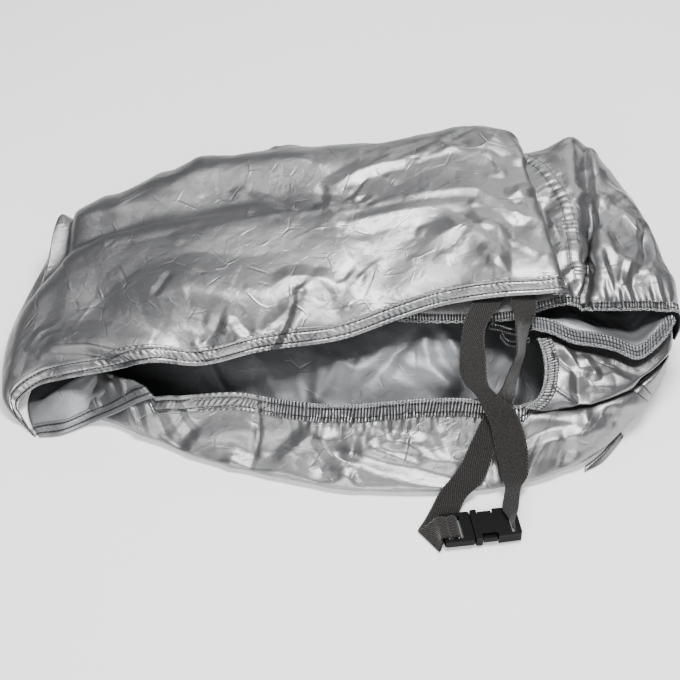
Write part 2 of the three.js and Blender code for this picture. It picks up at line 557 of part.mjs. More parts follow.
function maleHalf() {
  const base = plate({ x0: -END, x1: MOUTH - GAP, width: BUCKLE.width, z0: LADDER_FOOT,
    z1: BAR_TOP, round: 3 });
  const firstSlot = -END + BAR;
  const slots = [0, 1].map((i) => {
    const from = firstSlot + i * (SLOT.length + BAR);
    return block(from, from + SLOT.length, -SLOT.width / 2, SLOT.width / 2, 0, BUCKLE.thickness);
  });
  const ladder = slots.reduce((solid, slot) => solid.subtract(slot), base);
  const low = CAVITY.z0 + GAP;
  const high = CAVITY.z1 - GAP;
  const beside = ({ y, halfWidth }, side, x0, x1) =>
    block(x0, x1, side * y - halfWidth, side * y + halfWidth, low, high);
  const arms = [-1, 1].map((side) => beside(ARM, side, MOUTH - 3, WINDOW.x0 + 2)
    .add(beside(PAD, side, WINDOW.x0 + 1, WINDOW.x1 - 1)));
  const tongue = block(MOUTH - 3, MOUTH + TONGUE.length, -TONGUE.halfWidth, TONGUE.halfWidth,
    low + 1, high - 1);
  return ladder.add(tongue).add(arms[0]).add(arms[1]);
}

for (const [name, half] of [["buckle_female", femaleHalf()], ["buckle_male", maleHalf()]]) {
  const piece = addPiece(name, toGeometry(half), "plastic");
  piece.rotation.z = radians(BUCKLE.turn);
  piece.position.set(BUCKLE.x, BUCKLE.y, BUCKLE.lift);
}

// The frame's origin is on the floor, under the middle of the whole.
const middle = new THREE.Box3().setFromObject(cover).getCenter(new THREE.Vector3());
cover.position.set(-middle.x, -middle.y, 0);

export default cover;
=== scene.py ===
import math

import bmesh
import bpy
import numpy as np
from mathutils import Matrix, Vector


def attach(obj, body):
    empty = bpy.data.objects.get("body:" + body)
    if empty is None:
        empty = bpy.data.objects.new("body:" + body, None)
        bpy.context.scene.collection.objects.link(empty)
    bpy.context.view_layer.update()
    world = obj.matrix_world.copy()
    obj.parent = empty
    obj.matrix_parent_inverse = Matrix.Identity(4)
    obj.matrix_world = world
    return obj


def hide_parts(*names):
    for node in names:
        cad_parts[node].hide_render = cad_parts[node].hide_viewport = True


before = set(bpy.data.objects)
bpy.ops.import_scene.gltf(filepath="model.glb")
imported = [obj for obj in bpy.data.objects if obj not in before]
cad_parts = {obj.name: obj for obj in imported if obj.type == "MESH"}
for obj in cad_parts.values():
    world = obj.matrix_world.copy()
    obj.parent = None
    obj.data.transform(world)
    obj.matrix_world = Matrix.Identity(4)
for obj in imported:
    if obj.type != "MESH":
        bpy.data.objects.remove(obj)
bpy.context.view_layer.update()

# Camera
# A long lens, 1.7 m from the cover and 40 degrees above the floor, square on to the mouth. The
# tables below are in millimetres from a zero of their own, TABLE_ZERO in the model's frame.
MM = 0.001
TABLE_ZERO = np.array([0.6756, -38.7699, 0.0])
AIM = (Vector(TABLE_ZERO) + Vector((0, 0, 60))) * MM
CAMERA_DISTANCE = 1.7
CAMERA_RISE = math.radians(40)
SENSOR, LENS = 36, 96.75  # millimetres
NEAREST, FARTHEST = 0.05, 20


def put(name, data):
    """A new object in the scene."""
    thing = bpy.data.objects.new(name, data)
    bpy.context.scene.collection.objects.link(thing)
    return thing


camera = put("camera", bpy.data.cameras.new("camera"))
back = Vector((0, -math.cos(CAMERA_RISE), math.sin(CAMERA_RISE)))
camera.location = AIM + back * CAMERA_DISTANCE
camera.rotation_euler = (-back).to_track_quat("-Z", "Y").to_euler()
camera.data.sensor_width, camera.data.lens = SENSOR, LENS
camera.data.clip_start, camera.data.clip_end = NEAREST, FARTHEST
bpy.context.scene.camera = camera

# Floor and light
# A pale studio floor, softboxes above, behind, on the left and in front, and a dim room that leaves
# the folds turned away from the lights dark.
FLOOR_REACH = 6
FLOOR_COLOUR = (0.93, 0.93, 0.93, 1)
FLOOR_ROUGHNESS = 0.9
FLOOR_GLOW = 0.3
ROOM_COLOUR = (0.55, 0.56, 0.58, 1)
ROOM_STRENGTH = 0.22
SOFTBOXES = [
    # name, place, size across and along, watts
    ("top", (0.3, 0.0, 1.8), (0.6, 0.8), 33),
    ("back", (0.6, 1.7, 1.1), (1.2, 0.6), 6),
    ("left", (-0.7, -1.6, 1.0), (0.8, 0.6), 7),
    ("front", (0.0, -1.9, 0.8), (1.2, 0.6), 14),
    ("far left", (-0.85, 0.4, 1.6), (0.7, 0.6), 3.2),
]


def set_sockets(tree, node, sockets):
    """Gives each named socket of a node its value, or links it to another node's output."""
    for socket, value in sockets.items():
        if isinstance(value, bpy.types.NodeSocket):
            tree.links.new(value, node.inputs[socket])
        else:
            node.inputs[socket].default_value = value


def new_finish(name):
    """A new material, its tree and its Principled shader."""
    paint = bpy.data.materials.new(name)
    paint.use_nodes = True
    return paint, paint.node_tree, paint.node_tree.nodes["Principled BSDF"]


floor_mesh = bpy.data.meshes.new("floor")
floor_mesh.from_pydata([(x * FLOOR_REACH, y * FLOOR_REACH, 0)
                        for x, y in ((-1, -1), (1, -1), (1, 1), (-1, 1))], [], [(0, 1, 2, 3)])
floor = put("floor", floor_mesh)
floor_paper, floor_tree, floor_shader = new_finish("floor paper")
set_sockets(floor_tree, floor_shader, {
    "Base Color": FLOOR_COLOUR, "Roughness": FLOOR_ROUGHNESS,
    "Emission Color": (1, 1, 1, 1), "Emission Strength": FLOOR_GLOW})
floor_mesh.materials.append(floor_paper)

room = bpy.data.worlds.new("room")
room.use_nodes = True
set_sockets(room.node_tree, room.node_tree.nodes["Background"],
            {"Color": ROOM_COLOUR, "Strength": ROOM_STRENGTH})
bpy.context.scene.world = room
bpy.context.scene.view_settings.look = "AgX - Medium High Contrast"

for name, place, size, watts in SOFTBOXES:
    lamp = bpy.data.lights.new("softbox " + name, "AREA")
    lamp.shape = "RECTANGLE"
    lamp.size, lamp.size_y = size
    lamp.energy = watts
    softbox = put("softbox " + name, lamp)
    softbox.location = place
    softbox.rotation_euler = (AIM - Vector(place)).to_track_quat("-Z", "Y").to_euler()

# Upper panel
# The big upper cloth of silver coated taffeta. It is laid back over the rest and folds under at its
# right edge. Each table row is one section from the hem back to the floor.
LIE = 0.75  # height of the middle of a cloth that lies on the floor
FLAT, FREE = 1, 14  # heights above the floor between which folds grow from none to full
CLOTH = 0.6  # thickness of the coated cloth where it shows
SILVER = (0.27, 0.27, 0.275), (0.42, 0.42, 0.425)  # the coated face, dark and light
GREY = (0.24, 0.245, 0.255), (0.34, 0.345, 0.355)  # the inner face
# painted shade, nearly black, in the grooves between a hem's ribs, and a painted highlight, pale,
# on their crests
GROOVE_SHADE_COLOUR = (0.025, 0.026, 0.028, 1)
CREST_HIGHLIGHT_COLOUR = (0.8, 0.8, 0.8, 1)
WEAVE = 0.03
GLOSS_CHANGE = 0.06
UPPER_PANEL_ROWS = [
    # x, lean, bow, then (y, z), or y alone on the floor, at hem, band, brow, ridge, valley, crest,
    # shoulder, foot
    (-281, 28, -46, -68, -40, -14, 30, 78, 108, 162, 214),
    (-291, 34, -44, (-54, 5), (-38, 9), (-12, 16), (32, 20), (80, 22), (114, 26), (168, 20), 220),
    (-300, 36, -24, (-38, 10), (-28, 16), (-4, 29), (54, 40), (98, 38, 7), (156, 46, 6), (192, 32),
     230),
    (-294, 20, -8, (-28, 15), (-19, 24), (6, 38), (78, 52), (116, 40), (194, 61, 4), (212, 42),
     242),
    (-282, 16, 0, (-22, 22), (-13, 32), (14, 46), (102, 62), (130, 46), (184, 58), (210, 44), 246),
    (-258, -8, 0, (-22, 30), (-12, 42), (16, 54), (113, 71), (138, 60), (176, 74), (210, 54), 250),
    (-214, -14, 0, (-25, 43), (-14, 55), (15, 68), (116, 84), (142, 74), (172, 90), (216, 70),
     256),
    (-174, -6, 0, (-29, 57), (-18, 69), (18, 82), (112, 97), (142, 88), (186, 104), (232, 84),
     264),
    (-128, 0, 0, (-29, 53), (-18, 65), (20, 88), (116, 110), (148, 98), (204, 118), (244, 96),
     274),
    (-72, 0, 0, (-24, 66), (-13, 78), (26, 98), (118, 118), (152, 112), (204, 126), (246, 102),
     278),
    (0, 0, 0, (-15, 72), (-4, 84), (30, 103), (110, 122), (150, 124), (203, 132), (246, 108), 281),
    (56, 0, 0, (1, 84), (12, 96), (42, 110), (115, 127), (155, 130), (209, 136), (250, 112), 284),
    (94, -4, 0, (10, 92), (21, 104), (48, 117), (118, 130), (158, 134), (216, 140), (254, 116),
     287),
    (148, -14, 0, (9, 104), (20, 115), (46, 125), (115, 134), (158, 138), (228, 145), (262, 120),
     291),
    (184, -30, 0, (9, 107), (20, 118), (46, 127), (110, 132), (152, 136), (222, 142), (259, 118),
     290),
    (205, -40, 0, (11, 107), (22, 116), (50, 123), (104, 128), (146, 133), (206, 139), (252, 116),
     287),
    (209, -41, 0, (13, 104), (23, 112), (50, 119), (104, 124), (146, 129), (205, 135), (248, 113),
     284),
    (196, -38, 0, (16, 101), (26, 109), (52, 116), (104, 121), (146, 126), (204, 132), (245, 110),
     281),
]
UPPER_CREASES = [
    # line on the cloth (x, from the hem), heights, fall on its left, on its right, how round
    # the pocket and the ridge in the middle
    ([(-75, 188), (-48, 161), (-18, 157), (-17, 171), (-21, 196)], (-1, -4, -5, -4, -1), 14, 4, 1),
    ([(-103, 210), (-75, 188), (-48, 163)], (1, 2.5, 2), 4, 5, 1),
    ([(-128, 149), (-94, 149), (-51, 151), (-28, 152)], (1, 2.5, 2.5, 1), 6, 22, 1),
    ([(-18, 146), (-9, 133), (-3, 113), (2, 99), (9, 72), (10, 51)],
     (2, 4, 5, 4.5, 3, 1), 13, 24, 1),
    # the star above the pleat, and the pleat that crosses the hem
    ([(-66, 60), (-48, 69), (-33, 68), (-13, 60), (7, 49)], (1, 3.5, 4, 3, 1), 7, 12, 0.8),
    ([(-24, 62), (-38, 51), (-39, 44), (-41, 31), (-46, 17), (-55, 0)],
     (1, 3, 4, 5, 5, 4), 13, 3, 0.8),
    ([(-39, 49), (-47, 30), (-54, 16), (-66, 0)], (-1, -4, -5, -5), 5, 11, 0.8),
    ([(-39, 52), (-47, 48), (-57, 44)], (2, 2, 0.5), 4, 4, 0.8),
    ([(-69, 22), (-52, 35), (-40, 47)], (-2, -2, -0.5), 4, 3, 0.8),
    ([(13, 45), (17, 31), (20, 19)], (3, 3, 1), 14, 9, 3),
    ([(66, 69), (42, 55), (20, 38)], (-2, -4, -1), 15, 15, 7),
    # the fan of creases at the top right of the middle
    ([(-15, 182), (5, 166), (27, 148)], (-2, -3, -1), 4, 6, 1),
    ([(-1, 187), (20, 195), (62, 193), (99, 197)], (2, 3.5, 3, 0.5), 8, 6, 1),
    ([(-17, 160), (-5, 152), (6, 143)], (2.5, 2.5, 1), 5, 5, 0.8),
    ([(2, 138), (18, 139), (53, 140)], (2, 2, 1), 3, 4, 0.8),
    ([(-17, 155), (-8, 141), (0, 127)], (2, 2.5, 1.5), 4, 4, 0.8),
    ([(2, 125), (38, 121), (76, 115), (105, 115)], (2, 4, 3.5, 1), 6, 9, 1),
    ([(-60, 237), (-37, 229), (-18, 215)], (1, 3, 2), 12, 5, 2),
    ([(59, 199), (77, 205), (95, 212)], (-1, -2, -1), 5, 5, 1),
    ([(162, 224), (148, 202), (136, 192)], (2, 3, 1), 12, 8, 1),
    # the ridges that sweep down to the hem on the right
    ([(58, 139), (97, 134), (115, 135), (134, 132), (151, 114), (165, 95)],
     (1, 3, 3, 3, 3, 3), 9, 5, 1),
    ([(165, 98), (176, 93), (189, 87)], (3, 3, 1), 4, 5, 0.8),
    ([(167, 126), (179, 132), (190, 138)], (2, 3, 2), 6, 5, 1),
    ([(171, 126), (180, 109), (189, 81)], (3, 4, 3), 14, 6, 1),
    ([(165, 92), (161, 64), (158, 22)], (-3, -4, -2), 9, 6, 0.8),
    ([(164, 60), (171, 54), (181, 45)], (2, 2, 0.5), 3, 3, 0.8),
    ([(190, 76), (195, 59), (198, 38), (200, 0)], (3, 4, 4, 3), 8, 9, 1),
    ([(75, 62), (94, 73), (110, 80), (120, 81), (130, 73), (145, 51), (155, 26)],
     (0, 3, 5.5, 6, 6, 5, 2), 12, 9, 1.2),
    ([(103, 111), (117, 98), (130, 80), (137, 72), (150, 37)], (-1, -3.5, -3, -3, -1), 5, 6, 1),
    ([(131, 83), (148, 77), (160, 60)], (1, 2.5, 1), 4, 4, 0.8),
    ([(126, 37), (137, 45), (146, 38), (154, 22)], (1, 4, 4, 2), 6, 7, 1),
    ([(124, 19), (133, 26), (141, 32), (150, 18)], (1, 3.5, 3.5, 1), 5, 6, 1),
    # the left front: a tuck that hangs over the facet below it, and soft hollows
    ([(-280, 39), (-266, 34), (-234, 28), (-195, 13), (-168, 2)], (1, 4, 6, 6, 4), 14, 3, 0.8),
    ([(-264, 27), (-234, 20), (-200, 5)], (-2, -5, -4), 3, 10, 1),
    ([(-314, 36), (-299, 19), (-282, 22), (-266, 34)], (2, 4, 3, 2), 9, 8, 1),
    ([(-290, 48), (-283, 56), (-271, 57)], (1, 2, 1), 4, 4, 0.8),
    ([(-285, 42), (-276, 47), (-266, 47)], (1, 2, 1), 4, 4, 0.8),
    ([(-262, 84), (-235, 81), (-204, 56)], (-2, -5, -3), 15, 15, 9),
    ([(-195, 19), (-174, 30), (-146, 13)], (-2, -5, -3), 14, 14, 9),
    ([(-186, 62), (-139, 75), (-102, 60), (-64, 54)], (2, 9, 8, 3), 20, 14, 6),
    ([(-171, 72), (-161, 91)], (-1.5, -1.5), 3, 3, 0.8),
    ([(-145, 50), (-128, 44), (-114, 30)], (-1, -3, -1), 4, 6, 1),
    ([(-124, 22), (-114, 35), (-109, 46)], (-3, -3, -1), 4, 5, 1),
    ([(-132, 20), (-121, 8)], (2, 2), 3, 3, 0.8),
    ([(-104, 32), (-92, 18)], (2, 2), 4, 3, 0.8),
    ([(-96, 40), (-84, 22)], (-2, -2), 4, 3, 0.8),
    # the plane behind the ridge
    ([(-252, 150), (-228, 158), (-200, 152)], (2, 6, 2), 16, 16, 8),
    ([(-236, 168), (-187, 170), (-120, 178)], (1, 6, 1), 30, 10, 6),
    ([(-222, 218), (-187, 220), (-124, 226)], (-1, -5, -1), 10, 30, 6),
    # long folds down the back
    ([(-236, 236), (-240, 290), (-228, 350)], (2, 7, 6), 12, 7, 2),
    ([(-190, 246), (-176, 290), (-186, 372)], (1, 6, 7), 16, 6, 1.5),
    ([(-150, 250), (-140, 300), (-160, 380)], (1, 7, 8), 14, 9, 2),
    ([(-112, 262), (-100, 310), (-106, 384)], (-1, -5, -7), 8, 12, 2),
    ([(-60, 255), (-40, 310), (-56, 390)], (1, 7, 8), 9, 16, 2),
    ([(-8, 270), (8, 320), (-6, 396)], (1, 5, 8), 10, 8, 1.5),
    ([(40, 240), (55, 300), (40, 400)], (-1, -6, -7), 9, 12, 2),
    ([(84, 250), (76, 300), (92, 400)], (1, 6, 8), 8, 14, 1.5),
    ([(110, 235), (120, 300), (135, 370)], (1, 6, 7), 14, 8, 2),
    ([(172, 240), (162, 300), (176, 380)], (1, 6, 6), 8, 12, 2),
    ([(-140, 300), (-90, 330), (-56, 352)], (1, 4, 2), 6, 8, 1),
    ([(52, 300), (84, 322), (128, 330)], (1, 4, 2), 7, 6, 1),
    ([(-20, 340), (20, 352), (44, 348)], (1, 4, 2), 6, 6, 1),
]


def curve_through(points, places):
    """Centripetal curves through points (first axis), at places from 0 to 1."""
    count = len(points)
    ends = np.concatenate([[2 * points[0] - points[1]], points, [2 * points[-1] - points[-2]]])
    gaps = np.maximum(np.sum((ends[1:] - ends[:-1]) ** 2, axis=-1) ** 0.25, 1e-4)
    place = np.clip(places, 0, 1) * (count - 1)
    k = np.minimum(place.astype(int), count - 2)
    w = (place - k).reshape(-1, *[1] * (points.ndim - 1))
    p0, p1, p2, p3 = (ends[k + i] for i in range(4))
    d0, d1, d2 = (gaps[k + i][..., None] for i in range(3))
    t1 = ((p1 - p0) / d0 - (p2 - p0) / (d0 + d1) + (p2 - p1) / d1) * d1
    t2 = ((p2 - p1) / d1 - (p3 - p1) / (d1 + d2) + (p3 - p2) / d2) * d1
    return p1 + t1 * w + (3 * (p2 - p1) - 2 * t1 - t2) * w**2 + (2 * (p1 - p2) + t1 + t2) * w**3


def run_along(points, axis=0):
    """How far each point is from the first, along the line or the cloth that they make."""
    run = np.cumsum(np.linalg.norm(np.diff(points, axis=axis), axis=-1), axis=axis)
    return np.concatenate([np.zeros_like(np.take(run, [0], axis=axis)), run], axis=axis)


def sections(rows):
    """The stations of each row as points: (rows, stations, 3)."""
    table = []
    for x, lean, bow, *stations in rows:
        last = len(stations) - 1
        stations = [(station, LIE) if isinstance(station, int) else station for station in stations]
        table.append([
            (x + lean * i / last + bow * 4 * (i / last) * (1 - i / last) + sum(rest), y, z)
            for i, (y, z, *rest) in enumerate(stations)])
    return np.array(table, float)


def lay(rows, across, along, start=0.0, stop=None, power=1.0):
    """A cloth's middle surface as a grid: points, and each point's distance from the first edge.
    It starts start millimetres in from that edge, and runs to stop or to the far edge, with its
    points closer together at the start where power is over 1."""
    fine = np.linspace(0, 1, 400)
    strips = np.swapaxes(curve_through(np.swapaxes(sections(rows), 0, 1), fine), 0, 1)
    trial = curve_through(strips[:, ::20], fine)
    mean_run = np.linalg.norm(np.diff(trial, axis=0), axis=-1).mean(axis=1)
    length = np.concatenate([[0], np.cumsum(mean_run)])
    places = np.interp(length[-1] * np.linspace(0, 1, across + 1), length, fine)
    cloth = curve_through(strips, places)  # across + 1, 400, 3
    cloth[..., 2] = np.maximum(cloth[..., 2], LIE)
    depth = run_along(cloth, axis=1)
    share = np.linspace(0, 1, along + 1) ** power
    points, wanted = np.empty((across + 1, along + 1, 3)), np.empty((across + 1, along + 1))
    for i in range(across + 1):
        end = depth[i, -1] if stop is None else min(stop, depth[i, -1])
        wanted[i] = start + (end - start) * share
        for c in range(3):
            points[i, :, c] = np.interp(wanted[i], depth[i], cloth[i, :, c])
    return points, wanted


def normals_of(grid):
    normal = np.cross(np.gradient(grid, axis=0), np.gradient(grid, axis=1))
    return normal / np.maximum(np.linalg.norm(normal, axis=-1, keepdims=True), 1e-9)


def rise(value, low, high):
    """0 below low, 1 above high, smooth between."""
    t = np.clip((value - low) / (high - low), 0, 1)
    return t * t * (3 - 2 * t)


def soft_noise(x, s, size, seed):
    """Smooth noise from -1 to 1 over the cloth, with lumps of that size in millimetres."""
    lattice = np.random.default_rng(seed).uniform(-1, 1, (64, 64))
    u, v = x / size + 32, s / size + 7
    i, j = np.floor(u).astype(int), np.floor(v).astype(int)
    fu, fv = u - i, v - j
    fu, fv = fu * fu * (3 - 2 * fu), fv * fv * (3 - 2 * fv)
    near, far = (lattice[(i + k) % 64, j % 64] * (1 - fv) + lattice[(i + k) % 64, (j + 1) % 64] * fv
                 for k in (0, 1))
    return near * (1 - fu) + far * fu


def crumple(x, s, size, seed, folds=9):
    """Flat facets between sharp bends, as crushed taffeta has: bent waves of many directions, each
    over a patch of its own. About -1 to 1."""
    rng = np.random.default_rng(seed)
    height = np.zeros_like(x)
    for k in range(folds):
        turn = rng.uniform(0, math.pi)
        length = size * rng.uniform(0.7, 1.8)
        warp = 0.35 * length * soft_noise(x, s, 2.2 * length, seed * 31 + k)
        wave = (x * math.cos(turn) + s * math.sin(turn) + warp) / length + rng.uniform()
        patch = rise(soft_noise(x, s, 1.7 * length, seed * 77 + k), -0.1, 0.5)
        height += patch * (length / size) * (1 - 4 * np.abs(wave - np.floor(wave) - 0.5))
    return height / math.sqrt(folds)


def beside(x, s, line):
    """How the places of a cloth lie to a bent line on it: the distance to it, the same with a sign
    (positive on its left), and how far along it the nearest point is, from 0 to 1."""
    line = np.array(line, float)
    distance = np.full(x.shape, np.inf)
    left, along, done = np.zeros(x.shape), np.zeros(x.shape), 0.0
    for start, step in zip(line, np.diff(line, axis=0)):
        length = math.hypot(*step)
        way = step / length
        forward = (x - start[0]) * way[0] + (s - start[1]) * way[1]
        across = (s - start[1]) * way[0] - (x - start[0]) * way[1]
        reached = np.clip(forward, 0, length)
        away = np.hypot(forward - reached, across)
        nearer = away < distance
        distance = np.where(nearer, away, distance)
        left = np.where(nearer, across, left)
        along = np.where(nearer, done + reached, along)
        done += length
    return distance, left, along / done


def creases(x, s, table):
    """The height of a table's folds over the cloth. Each fold is a bent line on the cloth, with its
    heights spread evenly along it, half the width of its nearly flat slopes on the line's left and
    right, and how round its crest is."""
    height = np.zeros_like(x)
    for line, heights, fall_left, fall_right, crest in table:
        distance, left, share = beside(x, s, line)
        turn = left / np.maximum(distance, 1e-6)
        fall = fall_right + (fall_left - fall_right) * (0.5 + 0.5 * turn)
        away = np.sqrt(distance**2 + crest**2) - crest
        crest_height = np.interp(share, np.linspace(0, 1, len(heights)), heights)
        height += crest_height * np.clip(1 - away / (2 * fall), 0, 1) ** 1.2
    return height


def loose_creases(seed, count, x_range, s_range, lean, length=35, height=1.6):
    """A table of small sharp folds strewn over part of a cloth, most of them turned about lean."""
    rng = np.random.default_rng(seed)
    table = []
    for _ in range(count):
        line = [(rng.uniform(*x_range), rng.uniform(*s_range))]
        turn = math.radians(lean + rng.normal(0, 38))
        third = length * rng.uniform(0.4, 1.4) / 3
        bend = rng.uniform(-0.5, 0.5)
        for step in range(3):
            angle = turn + bend * step
            x, s = line[-1]
            line.append((x + third * math.cos(angle), s + third * math.sin(angle)))
        high = height * rng.uniform(0.4, 1.2) * rng.choice([-1, 1, 1])
        table.append((line, (0, high, high, 0), *rng.uniform(1.5, 7, 2), 0.8))
    return table


def fold(points, height):
    """Lifts a cloth along its normals, and less near the floor, where it lies flat."""
    lift = height * rise(points[..., 2], FLAT, FREE)
    grid = points + normals_of(points) * lift[..., None]
    grid[..., 2] = np.maximum(grid[..., 2], LIE)
    return grid


def shell(name, grid, thickness, across_uv, along_uv, finishes, under_step=1, painted_shading=None):
    """A closed object of the grid's cloth with its thickness, and its place on the cloth as UV map.
    The under side takes the second finish if there are two, and has a vertex for every under_step
    of the upper side. Finishes get painted shade, darker, where the painted shading value is over
    0, in a groove, and a painted highlight, lighter, where it is under 0, on a crest."""
    normals = normals_of(grid)
    k = under_step
    upper_side = grid + normals * thickness / 2
    under_side = (grid - normals * thickness / 2)[::k, ::k]
    points = np.concatenate([upper_side.reshape(-1, 3), under_side.reshape(-1, 3)])
    points[:, 2] = np.maximum(points[:, 2], 0)
    points = (points + TABLE_ZERO) * MM
    m, n = grid.shape[:2]
    at = np.arange(m * n).reshape(m, n)
    under = at.size + np.arange(under_side[..., 0].size).reshape(under_side.shape[:2])

    def rim(top, low, turned):
        """Faces between an edge of the upper side and the same edge of the under side."""
        steps = [top[i:i - k or None][::k] for i in range(k)]
        faces = np.stack(steps + [top[k::k], low[1:], low[:-1]], -1)
        return faces[:, ::-1] if turned else faces

    def squares(side, *order):
        """The square faces of a side, with their corners in that order."""
        corners = (side[:-1, :-1], side[1:, :-1], side[1:, 1:], side[:-1, 1:])
        return np.stack([corners[i] for i in order], -1).reshape(-1, 4)

    groups = [
        squares(at, 0, 1, 2, 3), squares(under, 0, 3, 2, 1),
        rim(at[:, 0], under[:, 0], True), rim(at[:, -1], under[:, -1], False),
        rim(at[0], under[0], False), rim(at[-1], under[-1], True)]
    corners = np.concatenate([g.ravel() for g in groups])
    sizes = np.concatenate([np.full(len(g), g.shape[1]) for g in groups])
    finish_of = (0, min(1, len(finishes) - 1), 0, 0, 0, 0)  # for each group
    which = np.repeat(np.array(finish_of, np.int32), [len(g) for g in groups])
    uv = np.stack([across_uv, along_uv], -1) * MM
    uv = np.concatenate([uv.reshape(-1, 2), uv[::k, ::k].reshape(-1, 2)])[corners]
    mesh = bpy.data.meshes.new(name)
    mesh.vertices.add(len(points))
    mesh.vertices.foreach_set("co", points.ravel())
    mesh.loops.add(len(corners))
    mesh.loops.foreach_set("vertex_index", corners)
    mesh.polygons.add(len(sizes))
    mesh.polygons.foreach_set("loop_start", np.cumsum(sizes) - sizes)
    mesh.polygons.foreach_set("use_smooth", np.ones(len(sizes), bool))
    mesh.polygons.foreach_set("material_index", which)
    mesh.uv_layers.new(name="cloth").data.foreach_set("uv", uv.ravel())
    if painted_shading is not None:
        shading_paint = np.concatenate([painted_shading.ravel(), painted_shading[::k, ::k].ravel()])
        mesh.attributes.new("painted_shading", "FLOAT", "POINT").data.foreach_set("value", shading_paint)
    mesh.update()
    mesh.validate()
    for finish in finishes:
        mesh.materials.append(finish)
    return put(name, mesh)


def add_node(tree, kind, sockets, **settings):
    """A new node of the tree with its settings, and its sockets' values or links."""
    node = tree.nodes.new(kind)
    for setting, value in settings.items():
        setattr(node, setting, value)
    set_sockets(tree, node, sockets)
    return node


def reckon(tree, operation, *values):
    """The output of a Math node on values or outputs."""
    return add_node(tree, "ShaderNodeMath", dict(enumerate(values)), operation=operation).outputs[0]


def shades(tree, mask, dark, light, start=0.0, end=1.0):
    """The colours between dark and light that a mask picks, as it runs from start to end."""
    node = add_node(tree, "ShaderNodeValToRGB", {"Fac": mask})
    for stop, place, colour in zip(node.color_ramp.elements, (start, end), (dark, light)):
        stop.position, stop.color = place, (*colour, 1)
    return node.outputs["Color"]


def bumps(tree, height, distance, strength=1.0):
    """The normal of a surface with small relief, whose height is up to distance in metres."""
    sockets = {"Height": height, "Distance": distance, "Strength": strength}
    return add_node(tree, "ShaderNodeBump", sockets).outputs["Normal"]


def new_group(name, kind, inputs, outputs):
    """A node group with its sockets (name, type and value), its inputs and its output node."""
    tree = bpy.data.node_groups.new(name, kind)
    for way, sockets in (("INPUT", inputs), ("OUTPUT", outputs)):
        for socket, sort, *value in sockets:
            made = tree.interface.new_socket(socket, in_out=way, socket_type="NodeSocket" + sort)
            if value:
                made.default_value = value[0]
    return tree, tree.nodes.new("NodeGroupInput").outputs, tree.nodes.new("NodeGroupOutput")


def coated_cloth_group():
    """The look that both faces of the taffeta share: faint weave, fine crinkles and a change of
    tone. It puts out a mask of tone and a normal."""
    tree, given, result = new_group("coated cloth", "ShaderNodeTree",
                                    [("Crinkle", "Float", 0.5), ("Weave", "Float", 0.1)],
                                    [("Tone", "Float"), ("Normal", "Vector")])
    place = tree.nodes.new("ShaderNodeTexCoord").outputs["UV"]

    def noise(scale, detail=3.0, warp=0.0, at=place):
        sockets = {"Scale": scale, "Detail": detail, "Distortion": warp, "Vector": at}
        return add_node(tree, "ShaderNodeTexNoise", sockets).outputs["Fac"]

    def plus(a, b):
        return reckon(tree, "ADD", a, b)

    def times(a, b):
        return reckon(tree, "MULTIPLY", a, b)

    def minus(a, b):
        return reckon(tree, "SUBTRACT", a, b)

    def at_most_one(a):
        return reckon(tree, "MINIMUM", a, 1.0)

    def past(a):
        """A mask that quickly goes from 0 to 1 where a is over 0."""
        return at_most_one(reckon(tree, "MAXIMUM", times(a, 9.0), 0.0))

    def bent(amount):
        """The place on the cloth, shifted to and fro by up to about that many metres."""
        sockets = {"Fac": amount, "Color1": place, "Color2": wander}
        return add_node(tree, "ShaderNodeMixRGB", sockets, blend_type="ADD").outputs["Color"]

    def to_cell_edge(scale, at):
        return add_node(tree, "ShaderNodeTexVoronoi", {"Scale": scale, "Vector": at},
                        feature="DISTANCE_TO_EDGE").outputs["Distance"]

    # long faint streaks along the weave
    drawn = add_node(tree, "ShaderNodeMapping", {"Scale": (0.06, 1.0, 1.0), "Vector": place})
    streaks = noise(420.0, at=drawn.outputs["Vector"])
    tone = plus(times(noise(9.0, 5.0, 0.6), 0.8), times(streaks, 0.2))
    # crinkles, strong in some places and faint in others
    wander = add_node(tree, "ShaderNodeTexNoise", {"Scale": 30.0, "Vector": place}).outputs["Color"]
    curly, straight = bent(0.012), bent(0.005)
    big, small = (times(at_most_one(times(to_cell_edge(scale, curly), 3.0)), 30.0 / scale)
                  for scale in (38.0, 95.0))
    crinkle = plus(plus(big, times(small, 0.6)), times(noise(70.0, 4.0), 1.6))
    crinkle = times(crinkle, noise(14.0, 2.0))
    # thin straight creases, up in some places, down in others and none between
    for scale, half_width, height in ((21.0, 0.03, 0.55), (48.0, 0.045, 0.28)):
        away = at_most_one(reckon(tree, "DIVIDE", to_cell_edge(scale, straight), half_width))
        patch = noise(scale * 1.5, 1.0)
        thin = times(minus(1.0, away), minus(past(minus(patch, 0.56)), past(minus(0.44, patch))))
        crinkle = plus(crinkle, times(thin, height))
    crinkle = times(crinkle, given["Crinkle"])
    threads = [add_node(tree, "ShaderNodeTexWave", {"Scale": 300.0, "Vector": place},
                        bands_direction=way).outputs["Fac"] for way in ("X", "Y")]
    weave = plus(times(plus(*threads), given["Weave"]), times(streaks, 0.015))
    normal = bumps(tree, plus(crinkle, weave), 0.002, 0.6)
    set_sockets(tree, result, {"Tone": tone, "Normal": normal})
    return tree


